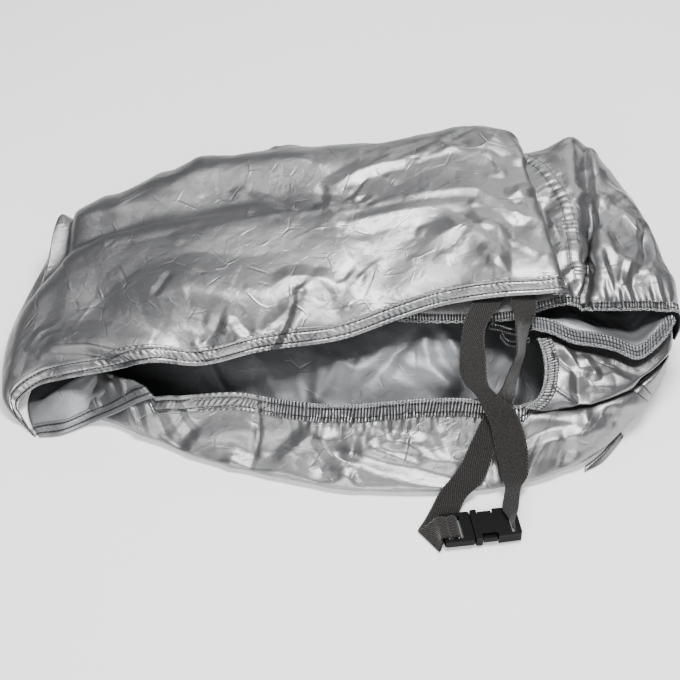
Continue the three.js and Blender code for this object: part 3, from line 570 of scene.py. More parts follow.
def cloth_finish(name, dark, light, metallic, rough, crinkle):
    """A finish of the taffeta: its colour runs from dark to light with the cloth's tone, with
    painted shade nearly black deep between its ribs, and a painted highlight pale on their crests."""
    paint, tree, shader = new_finish(name)
    look = add_node(tree, "ShaderNodeGroup", {"Crinkle": crinkle, "Weave": WEAVE},
                    node_tree=COATED_CLOTH).outputs
    # painted shade: the cloth's painted shading value darkens the colour towards near black in
    # grooves, and where it is under 0 it paints a pale highlight on crests
    shading_paint = add_node(tree, "ShaderNodeAttribute", {}, attribute_name="painted_shading").outputs["Fac"]
    colour = shades(tree, look["Tone"], dark, light, 0.3, 0.7)
    crest = reckon(tree, "MULTIPLY", shading_paint, -1.0)
    for mask, shade in ((shading_paint, GROOVE_SHADE_COLOUR), (crest, CREST_HIGHLIGHT_COLOUR)):
        sockets = {"Fac": mask, "Color1": colour, "Color2": shade}
        colour = add_node(tree, "ShaderNodeMixRGB", sockets).outputs["Color"]
    gloss = add_node(tree, "ShaderNodeMapRange", {
        "Value": look["Tone"], "To Min": rough + GLOSS_CHANGE, "To Max": rough - GLOSS_CHANGE})
    set_sockets(tree, shader, {"Base Color": colour, "Metallic": metallic, "Normal": look["Normal"],
                               "Roughness": gloss.outputs["Result"]})
    return paint


COATED_CLOTH = coated_cloth_group()
OUTER = cloth_finish("silver face", *SILVER, metallic=0.88, rough=0.40, crinkle=0.5)
INNER = cloth_finish("inner face", *GREY, metallic=0.55, rough=0.48, crinkle=0.4)

UPPER_CREASES += loose_creases(5, 34, (0, 200), (150, 240), 8)
UPPER_CREASES += loose_creases(6, 26, (-20, 190), (20, 130), 30, 24, 1.2)
UPPER_CREASES += loose_creases(7, 22, (-250, -20), (20, 230), 20, 30, 1.0)
UPPER_CREASES += loose_creases(8, 46, (-250, 200), (240, 420), 60, 45, 2.2)


def upper_relief(x, s):
    height = creases(x, s, UPPER_CREASES)
    height += 0.6 * crumple(x, s, 30, 5) * rise(x, -80, 60) + 0.3 * crumple(x, s, 46, 6)
    height += 0.9 * soft_noise(x, s, 60, 3)
    return height


points, s = lay(UPPER_PANEL_ROWS, 350, 220, start=2, power=1.1)
upper = shell("upper_cloth", fold(points, upper_relief(points[..., 0], s)), CLOTH,
              run_along(points), s, (OUTER, INNER), under_step=2)

# The upper panel's hem is folded twice and sewn with two rows of dark stitches.
UPPER_HEM = 17
HEM_THICKNESS = 1.8
HEM_ROWS = (4.5, 13)
HEM_MIDDLE = 8.7  # of its puckers, between the rows
THREAD_FACES = (6, 4)  # around a stitch, and along it
THREAD_REST = 0.3  # from a hem's face to the middle of its threads
THREAD_SIZE = 0.5
FINE_THREAD = 0.3  # on the elastic hems, half sunk between their ribs


def painted_shading_of(height):
    """The painted shade in the grooves between ribs of that height, a little of it over the whole
    band, and the painted highlight on their crests.
    """
    return 0.2 + 0.65 * rise(-height, -0.2, 1.1) - 0.45 * rise(height, 0.4, 1.3)


def band_grid(rows, relief, width, ribs, across, along=14, side=1, shade=1.0):
    """A hem's middle surface: the first strip of a cloth, with its folds and its own ribs. Also
    each point's x, its distance from the edge, and its painted shading: shade in the grooves and a
    highlight on the crests."""
    points, s = lay(rows, across, along, stop=width)
    x = points[..., 0]
    own = ribs(x, s)
    return fold(points, side * (relief(x, s) + own)), x, s, shade * painted_shading_of(own)


def stitch_group():
    """Machine stitches along a curve: a short round thread for each stitch, with a gap between."""
    tree, given, result = new_group("machine stitches", "GeometryNodeTree", [
        ("Geometry", "Geometry"), ("Pitch", "Float", 0.004), ("Thread", "Float", 0.0007),
        ("Gap", "Float", 0.0004), ("Thread Finish", "Material")], [("Geometry", "Geometry")])
    spots = add_node(tree, "GeometryNodeCurveToPoints", {
        "Curve": given["Geometry"], "Length": given["Pitch"]}, mode="LENGTH").outputs
    ball = add_node(tree, "GeometryNodeMeshUVSphere", {
        "Segments": THREAD_FACES[0], "Rings": THREAD_FACES[1], "Radius": 1.0})
    half = reckon(tree, "MULTIPLY", reckon(tree, "SUBTRACT", given["Pitch"], given["Gap"]), 0.56)
    size = add_node(tree, "ShaderNodeCombineXYZ", {
        "X": given["Thread"], "Y": given["Thread"], "Z": half})
    stitches = add_node(tree, "GeometryNodeInstanceOnPoints", {
        "Points": spots["Points"], "Rotation": spots["Rotation"],
        "Instance": ball.outputs["Mesh"], "Scale": size.outputs["Vector"]}).outputs["Instances"]
    for step in ("RealizeInstances", "SetShadeSmooth", "SetMaterial"):
        last = add_node(tree, "GeometryNode" + step, {"Geometry": stitches})
        stitches = last.outputs["Geometry"]
    set_sockets(tree, last, {"Material": given["Thread Finish"]})
    set_sockets(tree, result, {"Geometry": stitches})
    return tree


def thread_finish(name, colour):
    paint, tree, shader = new_finish(name)
    place = tree.nodes.new("ShaderNodeTexCoord").outputs["Object"]
    fluff = add_node(tree, "ShaderNodeTexNoise", {"Scale": 900.0, "Vector": place}).outputs["Fac"]
    dark, light = ([share * c for c in colour] for share in (0.6, 1.5))
    set_sockets(tree, shader, {"Roughness": 0.7, "Base Color": shades(tree, fluff, dark, light)})
    return paint


STITCHES = stitch_group()
DARK_THREAD = thread_finish("dark sewing thread", (0.03, 0.03, 0.032))
GREY_THREAD = thread_finish("grey overlock thread", (0.42, 0.42, 0.425))


def sew(name, lines, pitch=4.0, thread=THREAD_SIZE, finish=DARK_THREAD):
    """One object of machine stitches along lines of points in the tables' millimetres."""
    track = bpy.data.curves.new(name + " track", "CURVE")
    track.dimensions = "3D"
    for line in lines:
        spline = track.splines.new("POLY")
        spline.points.add(len(line) - 1)
        above = np.maximum(line, (-np.inf, -np.inf, 1.5 * thread))  # clear of the floor
        for point, place in zip(spline.points, (above + TABLE_ZERO) * MM):
            point.co = (*place, 1)
    seam = put(name + " track", track)
    modifier = seam.modifiers.new("stitches", "NODES")
    modifier.node_group = STITCHES
    sockets = {i.name: i.identifier for i in STITCHES.interface.items_tree if i.in_out == "INPUT"}
    modifier[sockets["Pitch"]] = pitch * MM
    modifier[sockets["Thread"]] = thread * MM
    modifier[sockets["Thread Finish"]] = finish
    view = bpy.context.evaluated_depsgraph_get()
    mesh = bpy.data.meshes.new_from_object(seam.evaluated_get(view))
    bpy.data.objects.remove(seam)
    return put(name, mesh)


def row_on(grid, s, distance, thickness, side=1, columns=slice(None)):
    """A line on a hem, that far from its edge, just on its face."""
    place = grid + normals_of(grid) * (side * (thickness / 2 + THREAD_REST))
    line = [[np.interp(distance, s[i], place[i, :, c]) for c in range(3)] for i in range(len(grid))]
    return np.array(line)[columns]


def plain_hem(x, s, seed):
    """A hem without elastic: a groove at each row of stitches, and slanting puckers between them,
    tight in some places and slack in others."""
    between = np.exp(-(((s - HEM_MIDDLE) / 3.4) ** 2))
    between += 0.6 * rise(s, 13.5, 16) + 0.5 * rise(3.5 - s, 0, 3)
    tight = rise(soft_noise(x, 0 * s, 24, seed + 1), -0.3, 0.5)
    slant = (x + 0.8 * s) / 5.4 + 0.55 * soft_noise(x, s * 0.3, 13, seed)
    height = (0.1 + 0.5 * tight) * between * np.cos(2 * math.pi * slant)
    height += 0.35 * soft_noise(x, s, 11, seed + 2)
    for row in HEM_ROWS:
        height -= 1.0 * np.exp(-(((s - row) / 0.9) ** 2))
    return height


def upper_ribs(x, s):
    return plain_hem(x, s, 12)


hem_grid, hem_x, hem_s, painted_shading = band_grid(UPPER_PANEL_ROWS, upper_relief, UPPER_HEM, upper_ribs,
                                          720, 20, shade=0.5)
upper_hem = shell("upper_hem", hem_grid, HEM_THICKNESS, hem_x, hem_s, (OUTER,), painted_shading=painted_shading)
upper_seams = sew("upper_hem_stitches",
                  [row_on(hem_grid, hem_s, d, HEM_THICKNESS) for d in HEM_ROWS])
for piece in (upper, upper_hem, upper_seams):
    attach(piece, "root")
    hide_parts("upper_panel")

# Tail panel
# The cloth of the tail end, half under the upper panel. Its front edge is gathered on elastic and
# overlocked, and a felled seam with two rows of stitches crosses it beside the upper panel.
TAIL_ELASTIC = 9
TAIL_ELASTIC_ROWS = (3.5, 7.5)
ELASTIC_THICKNESS = 1.6  # of the tail's and the flap's elastic hems
OVERLOCK_START = 0.2  # from the edge
OVERLOCK_PITCH = 2.6
SEAM_ROWS = 4.6  # from the middle of the felled seam to each row of stitches
SEAM_THREAD_REST = 0.12  # from the cloth's face to the middle of a seam's threads
FELLED_SEAM = [(184, 202), (198, 180), (210, 149), (217, 127), (220, 100), (220, 72), (220, 53),
               (222, 22)]
SLIT = [(246.5, 150), (240.5, 118), (235.5, 93), (227.5, 42), (220.5, 6)]
TAIL_PANEL_ROWS = [
    # x, lean, bow, then (y, z), or y alone on the floor, at hem, gather, slope, mid, crest,
    # shoulder, foot
    (38, 0, 0, (16, 72), (26, 80), (60, 97), (120, 110), (200, 119), (236, 98), 266),
    (60, 0, 0, (9, 74), (18, 84), (55, 101), (120, 115), (204, 125), (240, 102), 269),
    (118, -6, 0, (6, 75), (16, 86), (52, 107), (118, 118), (210, 129), (244, 106), 272),
    (162, -10, 0, (6, 79), (16, 90), (52, 108), (115, 117), (208, 122), (238, 97), 268),
    (196, 6, 0, (14, 87), (22, 95), (55, 105), (110, 115), (214, 124), (242, 99), 272),
    (213, 28, 0, (12, 91), (20, 97), (52, 104), (110, 116), (229, 130), (255, 106), 282),
    (225, 30, 0, (8, 88), (18, 91), (50, 93), (108, 102), (218, 115), (254, 96), 284),
    (233, 28, 0, (6, 90), (14, 98), (48, 107), (106, 117), (202, 121), (246, 100), 283),
    (257, 10, 0, (7, 89), (15, 97), (46, 106), (100, 114), (180, 114), (230, 92), 274),
    (283, 4, 0, (10, 87), (17, 94), (44, 103), (90, 107), (150, 104), (205, 80), 254),
    (302, 0, 0, (10, 85), (16, 90), (38, 96), (72, 98), (112, 92), (165, 64), 222),
    (313, 0, 0, (14, 82), (19, 85), (34, 88), (54, 85), (86, 72), (130, 42), 178),
    (317, 0, 0, (18, 68), (22, 70), (36, 68), (52, 60), (76, 44), (106, 22), 136),
    (316, 0, 0, (24, 40), (28, 39), (38, 35), (50, 29), (64, 20), (80, 10), 96),
]
TAIL_CREASES = [
    # line on the cloth (x, from the edge), heights, fall on its left, on its right, how round
    ([(247, 150), (241, 118), (236, 93), (228, 42), (222, 6)], (0, -4, -5, -6, -8), 3, 0.7, 0.2),
    ([(245.5, 150), (239.5, 118), (234.5, 93), (226.5, 42), (219, 6)],
     (0, 2, 3, 3, 3), 0.7, 9, 0.2),
    ([(224, 128), (239, 149), (245, 165), (242, 177)], (2, 3.5, 2, 1), 5, 5, 1),
    ([(201, 114), (204, 94), (209, 72)], (2, 4, 2), 4, 4, 1),
    ([(196, 125), (200, 104)], (-4, -5), 5, 5, 2),
    ([(208, 59), (232, 66)], (4, 3), 6, 7, 1.5),
    ([(211, 31), (226, 43)], (4, 3), 4, 4, 1),
    ([(218, 12), (227, 34)], (3, 3), 4, 4, 1),
    ([(249, 178), (251, 157)], (-3, -4), 6, 7, 2),
    ([(256, 159), (275, 154), (288, 128), (289, 104)], (2, 4.5, 4.5, 3), 9, 8, 1),
    ([(258, 140), (278, 115), (288, 101)], (2, 3, 2), 5, 5, 1),
    ([(247, 110), (254, 128)], (-4, -3), 7, 8, 3),
    ([(246, 84), (259, 61), (267, 53), (284, 47), (296, 31)], (2, 4.5, 4.5, 4, 2), 9, 6, 1),
    ([(291, 109), (292, 72), (284, 49)], (-4, -7, -3), 3, 4, 1),
    ([(295, 119), (305, 69), (310, 20)], (2, 3, 2), 6, 5, 1),
    ([(240, 95), (241, 62), (246, 8)], (2, 4, 3), 4, 3, 0.8),
    ([(244, 65), (249, 30), (257, 6)], (3, 4.5, 3), 3, 3, 0.8),
    ([(246, 34), (251, 7)], (-3, -3), 3, 3, 0.8),
    ([(230, 45), (238, 39), (235, 12)], (1, 3, 3), 3, 3, 0.8),
    ([(264, 52), (260, 29), (269, 6)], (2, 4, 3), 4, 4, 0.8),
    ([(264, 28), (271, 48)], (2, 3), 4, 4, 0.8),
    ([(283, 6), (280, 30)], (3, 2), 4, 4, 0.8),
    ([(298, 8), (292, 34)], (3, 2), 4, 3, 0.8),
    # the back of the tail
    ([(200, 230), (230, 280), (220, 340)], (2, 7, 6), 12, 8, 2),
    ([(244, 200), (250, 250), (240, 320)], (1, 6, 7), 8, 12, 1.5),
    ([(260, 190), (280, 240), (268, 300)], (2, 7, 6), 11, 8, 2),
    ([(296, 150), (300, 190), (296, 240)], (1, 5, 4), 8, 6, 1.5),
    ([(222, 290), (250, 300), (268, 280)], (1, 4, 1), 6, 6, 1),
]
TAIL_CREASES += loose_creases(15, 26, (200, 300), (60, 200), 80, 30, 1.5)
TAIL_CREASES += loose_creases(16, 30, (100, 310), (200, 350), 70, 40, 2.2)


def felled_seam(x, s, line, half_width, seed):
    """A flat-felled seam: a raised strip with a groove at each row of stitches, puckered across."""
    distance, side, share = beside(x, s, line)
    strip = 1.2 * rise(half_width + 2.2 - distance, 0, 1.6)
    grooves = -0.9 * np.exp(-(((distance - half_width) / 1.0) ** 2))
    puckers = soft_noise(share * 400, side * 0.4, 5.5, seed) * np.exp(-((distance / 9) ** 2))
    return strip + grooves + 1.1 * puckers


def tail_relief(x, s):
    height = creases(x, s, TAIL_CREASES) + felled_seam(x, s, FELLED_SEAM, SEAM_ROWS, 17)
    height += 0.7 * crumple(x, s, 26, 15) + 1.0 * soft_noise(x, s, 40, 4)
    gathers = np.cos(2 * math.pi * (x / 9 + 0.6 * soft_noise(x, s, 20, 9)))
    height += 1.6 * gathers * np.exp(-s / 16) * rise(x, 180, 240)
    return height


points, tail_s = lay(TAIL_PANEL_ROWS, 280, 240, start=1.5)
tail_x, tail_across = points[..., 0], run_along(points)
# the end wall of the tail hangs to the floor in slack vertical folds
wall = rise(tail_x, 280, 306) * rise(tail_s, 20, 50)
slack = 2.6 * crumple(tail_across, 0.45 * tail_s, 34, 71)
slack += 2.0 * soft_noise(tail_across, 0.5 * tail_s, 22, 72)
tail_grid = fold(points, tail_relief(tail_x, tail_s) + wall * slack)
# the slit beside the seam, where the cloth is folded under itself, gets a painted shadow: a dark
# line
to_slit, _, slit_share = beside(tail_x, tail_s, SLIT)
slit_shade = 0.95 * rise(-to_slit, -2.8, -0.8) * rise(slit_share, 0.1, 0.4)
tail = shell("tail_cloth", tail_grid, CLOTH, tail_across, tail_s, (OUTER, INNER), under_step=2,
             painted_shading=slit_shade)


def elastic(x, s, pitch, height, rows, seed):
    """The tight ribs of a hem drawn up on elastic, pressed down along its rows of stitches."""
    phase = x / pitch + 0.45 * soft_noise(x, s * 0.5, 3 * pitch, seed) + 0.02 * s
    strength = 0.8 + 0.3 * soft_noise(x, s, 6, seed + 1) + 0.4 * np.exp(-s / 1.6)
    ribs = height * np.cos(2 * math.pi * phase) * strength
    for row in rows:
        ribs *= 1 - 0.25 * np.exp(-((s - row) / 1.0) ** 2)
        ribs -= 0.2 * np.exp(-((s - row) / 0.8) ** 2)
    return ribs


def tail_ribs(x, s):
    return elastic(x, s, 3.0, 0.8, TAIL_ELASTIC_ROWS, 21)


def line_on(grid, x, s, line, side=1):
    """A bent line given on the cloth, found on its folded grid, just on its face."""
    line = np.array(line, float)
    run = run_along(line)
    up = grid + normals_of(grid) * (side * (CLOTH / 2 + SEAM_THREAD_REST))
    found = []
    for d in np.arange(0, run[-1], 1.2):
        px, ps = (np.interp(d, run, line[:, c]) for c in (0, 1))
        away = (x - px) ** 2 + (s - ps) ** 2
        near = np.argsort(away, axis=None)[:4]
        share = 1 / (away.ravel()[near] + 0.05)
        found.append((up.reshape(-1, 3)[near] * share[:, None]).sum(axis=0) / share.sum())
    return np.array(found)


def shifted(line, by):
    """The bent line moved sideways on the cloth."""
    line = np.array(line, float)
    way = np.gradient(line, axis=0)
    way /= np.linalg.norm(way, axis=1, keepdims=True)
    return line + np.stack([-way[:, 1], way[:, 0]], -1) * by


def zigzag(grid, s, near, far, thickness, side=1, columns=slice(None), pitch=OVERLOCK_PITCH):
    """The thread of an overlocked edge, to and fro between two distances from it."""
    lines = [row_on(grid, s, d, thickness, side, columns) for d in (near, far)]
    run = run_along(lines[0])
    wanted = np.arange(0, run[-1], pitch / 2)
    lines = [np.stack([np.interp(wanted, run, line[:, c]) for c in range(3)], -1) for line in lines]
    return np.where((np.arange(len(wanted)) % 2 == 0)[:, None], *lines)


def overlock(name, grid, s, thickness, over, thread, **where):
    """The grey stitches over an edge, as far in as over."""
    line = zigzag(grid, s, OVERLOCK_START, over, thickness, **where)
    return sew(name, [line], OVERLOCK_PITCH, thread, GREY_THREAD)


hem_grid, hem_x, hem_s, painted_shading = band_grid(TAIL_PANEL_ROWS, tail_relief, TAIL_ELASTIC, tail_ribs,
                                          900, 10)
tail_edge = shell("tail_elastic_edge", hem_grid, ELASTIC_THICKNESS, hem_x, hem_s, (OUTER,),
                  painted_shading=painted_shading)
tail_seams = sew("tail_stitches", [
    *[row_on(hem_grid, hem_s, d, ELASTIC_THICKNESS) for d in TAIL_ELASTIC_ROWS],
    *[line_on(tail_grid, tail_x, tail_s, shifted(FELLED_SEAM, d)) for d in (-SEAM_ROWS, SEAM_ROWS)],
], thread=FINE_THREAD)
tail_overlock = overlock("tail_overlock", hem_grid, hem_s, ELASTIC_THICKNESS, 2.8, 0.4)

# The inner edge of the tail's elastic shows between the straps, gathered into two short frills.
FRILL_WIDTH = 8
FRILL_STEPS = (90, 9)  # along and across
FRILLS = [
    # upper edge, its fall to the lower edge
    ([(138, -8, 86), (146, -9, 85), (155, -11, 83), (164, -12, 82), (172, -12, 82)], (0, 3, -8)),
    ([(148, -16, 82), (153, -20, 77), (160, -21, 75), (168, -19, 76), (174, -17, 77)], (0, 3, -7)),
]
frills = []
for line, fall in FRILLS:
    edge = curve_through(np.array(line, float), np.linspace(0, 1, FRILL_STEPS[0]))
    share = np.linspace(0, 1, FRILL_STEPS[1])
    grid = edge[:, None, :] + share[None, :, None] * np.array(fall, float)
    along, down = np.meshgrid(run_along(edge), FRILL_WIDTH * share, indexing="ij")
    own = elastic(along, down, 2.2, 0.9, (5,), 23)
    grid = grid + normals_of(grid) * own[..., None]
    threads = [zigzag(grid, down, 5.6, 7.9, CLOTH, side, pitch=1.9) for side in (1, -1)]
    # the frills get painted shade between their ribs and a painted highlight on their crests
    frills += [
        shell("tail_frill", grid, CLOTH, along, down, (OUTER,), painted_shading=painted_shading_of(own)),
        sew("tail_frill_overlock", threads, 2.2, 0.25, GREY_THREAD)]
for piece in (tail, tail_edge, tail_seams, tail_overlock, *frills):
    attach(piece, "root")
    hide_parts("tail_panel")

# Tail flap
# The lower edge of the tail, turned out so that its inner face shows. Its hem is drawn up on
# elastic, with three rows of stitches and an overlocked edge.
FLAP_HEM = 14
FLAP_HEM_ROWS = (4, 7.5, 11)
TAIL_FLAP_ROWS = [
    # x, lean, bow, then (y, z), or y alone on the floor, at edge, stitch, lining, inside
    (177, 0, 0, (-6, 77), (1, 86), (5, 77), (22, 68)),
    (194, 0, 0, (-12, 77), (0, 85), (8, 76), (34, 66)),
    (214, 0, 0, (-21, 73), (-5, 83), (14, 76), (52, 64)),
    (236, 0, 0, (-25, 72), (-12, 80), (8, 72), (54, 60)),
    (251, 0, 0, (-28, 70), (-17, 77), (4, 68), (54, 58)),
    (272, 0, 0, (-33, 64), (-20, 71), (2, 65), (52, 58)),
    (289, -8, 0, (-21, 66), (-10, 75), (6, 70), (46, 62)),
    (302, -8, 0, (-8, 72), (2, 80), (14, 75), (40, 66)),
    (311, -10, 0, (6, 79), (9, 82), (18, 77), (36, 70)),
]


def flap_relief(x, s):
    return 1.2 * crumple(x, s, 18, 33) * rise(s, 8, 30)


def flap_ribs(x, s):
    return elastic(x, s, 3.0, 0.6, FLAP_HEM_ROWS, 35)


points, s = lay(TAIL_FLAP_ROWS, 115, 50, start=1.5)
flap = shell("flap_cloth", fold(points, flap_relief(points[..., 0], s)), CLOTH, points[..., 0], s,
             (INNER, OUTER))
hem_grid, hem_x, hem_s, painted_shading = band_grid(TAIL_FLAP_ROWS, flap_relief, FLAP_HEM, flap_ribs, 420)
flap_hem = shell("flap_elastic_hem", hem_grid, ELASTIC_THICKNESS, hem_x, hem_s, (INNER,),
                 painted_shading=painted_shading)
flap_seams = sew("flap_stitches", [
    row_on(hem_grid, hem_s, d, ELASTIC_THICKNESS) for d in FLAP_HEM_ROWS], thread=FINE_THREAD)
flap_overlock = overlock("flap_overlock", hem_grid, hem_s, ELASTIC_THICKNESS, 2.8, 0.4)
for piece in (flap, flap_hem, flap_seams, flap_overlock):
    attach(piece, "root")
    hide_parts("tail_flap")

# Gusset
# The fold of cloth under the flap. Its left edge is the elastic hem on its way down to the lip, and
# a seam runs from that hem to its lower edge.
GUSSET_HEM = 13
GUSSET_HEM_ROWS = (3.5, 9.5)
GUSSET_SEAM = [(194, 57), (205, 63), (216, 69)]
GUSSET_ROWS = [
    # x, lean, bow, then (y, z), or y alone on the floor, at top, brow, belly, fold, tuck
    (182, -16, 11, (-9, 69), (-34, 64), (-55, 59), (-74, 54), (-84, 51)),
    (196, -12, 8, (-8, 69), (-32, 66), (-54, 60), (-74, 52), (-84, 47)),
    (217, 0, 0, (-10, 66), (-34, 63), (-55, 55), (-75, 45), (-68, 41)),
    (246, 0, 0, (-12, 64), (-32, 60), (-48, 54), (-64, 47), (-56, 43)),
    (272, 0, 0, (-10, 58), (-28, 56), (-37, 53), (-45, 50), (-38, 45)),
    (295, 0, 0, (2, 60), (-12, 57), (-18, 55), (-24, 52), (-18, 47)),
    (308, 0, 0, (10, 61), (4, 59), (0, 56), (-4, 52), (2, 47)),
    (312, 0, 0, (22, 58), (19, 56), (17, 54), (15, 51), (18, 48)),
]
GUSSET_CREASES = [
    # line on the cloth (x, from its top), heights, fall on its left, on its right, how round
    ([(195, 6), (205, 14), (214, 28), (218, 32)], (2, 4, 4, 1), 4, 4, 1),
    ([(199, 22), (207, 30), (214, 38)], (-3, -3, -1), 3, 3, 1),
    ([(225, 23), (230, 36)], (3, 3), 4, 4, 0.8),
    ([(230, 36), (241, 22)], (3, 2), 4, 4, 0.8),
    ([(206, 42), (221, 41), (240, 39), (249, 33), (265, 40)], (2, 4, 4, 4, 2), 7, 5, 0.8),
    ([(216, 44), (217, 56), (217, 68)], (-4, -5, -3), 4, 5, 0.8),
    ([(228, 50), (250, 46), (268, 38)], (3, 3, 1), 6, 6, 2),
    (GUSSET_SEAM, (-1.5, -1.5, -1.5), 1.5, 1.5, 0.5),
]


def gusset_relief(x, s):
    return creases(x, s, GUSSET_CREASES) + 0.6 * crumple(x, s, 22, 41)


def gusset_ribs(along, s):
    return elastic(along, s, 3.0, 1.0, GUSSET_HEM_ROWS, 43)


def side_band(grid, width, along, over, ribs):
    """A hem along the first row of a folded cloth: (along, over) points with its ribs, each point's
    place along the edge and its distance from it, and its painted shading: shade in the grooves
    and a highlight on the crests."""
    depth = run_along(grid)
    inside = np.linspace(0, width, over + 1)
    strip = np.array([[np.interp(inside, depth[:, j], grid[:, j, c]) for c in range(3)]
                      for j in range(grid.shape[1])])
    edge = run_along(strip[:, :, 0])
    fine = np.linspace(0, edge[-1], along + 1)
    place = np.array([[np.interp(fine, edge, strip[:, c, k]) for c in range(3)]
                      for k in range(over + 1)])
    place = np.transpose(place, (2, 0, 1))
    from_top, from_edge = np.meshgrid(fine, inside, indexing="ij")
    own = ribs(from_top, from_edge)
    lift = (own + 0.6) * rise(place[..., 2], FLAT, FREE)
    return place + normals_of(place) * lift[..., None], from_top, from_edge, painted_shading_of(own)


points, gusset_s = lay(GUSSET_ROWS, 115, 85)
gusset_x = points[..., 0]
gusset_grid = fold(points, -gusset_relief(gusset_x, gusset_s))
gusset = shell("gusset_cloth", gusset_grid, CLOTH, gusset_x, gusset_s, (INNER, OUTER))
hem_grid, hem_along, hem_s, painted_shading = side_band(gusset_grid, GUSSET_HEM, 420, 14, gusset_ribs)
gusset_hem = shell("gusset_elastic_hem", hem_grid, HEM_THICKNESS, hem_along, hem_s, (OUTER,),
                   painted_shading=painted_shading)
gusset_seams = sew("gusset_stitches", [
    *[row_on(hem_grid, hem_s, d, HEM_THICKNESS) for d in GUSSET_HEM_ROWS],
    line_on(gusset_grid, gusset_x, gusset_s, shifted(GUSSET_SEAM, 1.6), side=-1),
], thread=FINE_THREAD)
gusset_overlock = overlock("gusset_overlock", hem_grid, hem_s, HEM_THICKNESS, 3.0, 0.42)
for piece in (gusset, gusset_hem, gusset_seams, gusset_overlock):
    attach(piece, "root")
    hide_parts("gusset")

# Lower panel
# The cloth under the mouth: its lip on elastic, the belly in front, the floor, and a swell inside
# the mouth. On the left the lip is cuffed outwards, so that its inner face shows.
LIP = 17
LIP_ROWS = (4.5, 12.5)
CUFF_END = 350  # the column of the lip where the cuff ends
ELASTIC_START = 470  # the column from which the lip is on elastic
UNDER_GUSSET = 212  # from this x on the lip lies under the gusset
LOWER_PANEL_ROWS = [
    # x, lean, bow, then (y, z), or y alone on the floor, at edge, band, fold, belly, front, foot,
    # floor, swell, dip, back
    (-277, 40, -34, (-69, 1), (-54, 2), (-36, 3), (-20, 2), -4, 14, 56, 96, 140, 186),
    (-258, 28, 0, (-67, 2), (-43, 8), (-14, 22), (-24, 9), (-34, 3), -26, 30, 90, 150, 208),
    (-231, 0, 0, (-53, 4), (-32, 11), (-8, 28), (-27, 14), (-44, 6), -40, 16, 100, 160, 228),
    (-208, 0, 0, (-53, 16), (-36, 22), (-19, 33), (-42, 17), (-55, 6), -49, 6, 90, 164, 238),
    (-184, 0, 0, (-53, 30), (-47, 35), (-37, 38), (-58, 22), (-70, 7), -63, -10, (70, 8), 168,
     246),
    (-164, 0, 0, (-55, 39), (-56, 36), (-61, 31), (-71, 20), (-81, 7), -73, -20, (50, 14), 168,
     252),
    (-142, 0, 0, (-58, 43), (-65, 32), (-73, 23), (-82, 14), (-94, 6), -86, -34, (34, 26), 168,
     256),
    (-94, 0, 0, (-62, 50), (-71, 38), (-81, 27), (-93, 15), (-114, 6), -105, -50, (30, 40), 160,
     260),
    (-52, 0, 0, (-72, 50), (-81, 38), (-90, 28), (-105, 15), (-126, 6), -117, -62, (30, 46), 160,
     262),
    (0, 0, 0, (-81, 52), (-91, 42), (-102, 33), (-118, 18), (-141, 6), -131, -74, (32, 52), 160,
     258),
    (78, 0, 0, (-78, 57), (-86, 46), (-98, 34), (-118, 18), (-144, 6), -134, -74, (40, 62), 160,
     256),
    (122, 0, 0, (-79, 57), (-87, 46), (-99, 34), (-118, 18), (-143, 6), -133, -70, (44, 60), 160,
     256),
    (154, 0, 0, (-80, 50), (-88, 43), (-97, 35), (-114, 21), (-136, 6), -126, -60, (44, 50), 160,
     256),
    (176, 0, 0, (-64, 38), (-75, 41), (-88, 39), (-107, 28), (-130, 7), -120, -50, (40, 38), 160,
     256),
    (200, 0, 0, (-48, 30), (-66, 36), (-84, 38), (-102, 28), (-119, 8), -108, -40, (34, 20), 160,
     256),
    (227, 0, 0, (-44, 31), (-62, 37), (-79, 39), (-94, 28), (-103, 9), -91, -30, 50, 150, 254),
    (255, 0, 0, (-34, 34), (-49, 39), (-62, 40), (-71, 28), (-70, 11), -56, -10, 60, 140, 240),
    (280, 0, 0, (-18, 36), (-31, 40), (-42, 41), (-46, 28), (-41, 12), -27, 10, 60, 120, 216),
    (298, 0, 0, (-2, 36), (-13, 41), (-21, 43), (-20, 29), (-14, 12), -2, 20, 50, 90, 160),
    (308, 0, 0, (12, 34), (5, 38), (1, 38), (3, 26), (7, 11), 15, 26, 44, 64, 90),
]
BELLY_SEAMS = [
    [(265, 22), (272, 28), (283, 44)],
    [(272, 14), (281, 28), (291, 48)],
]
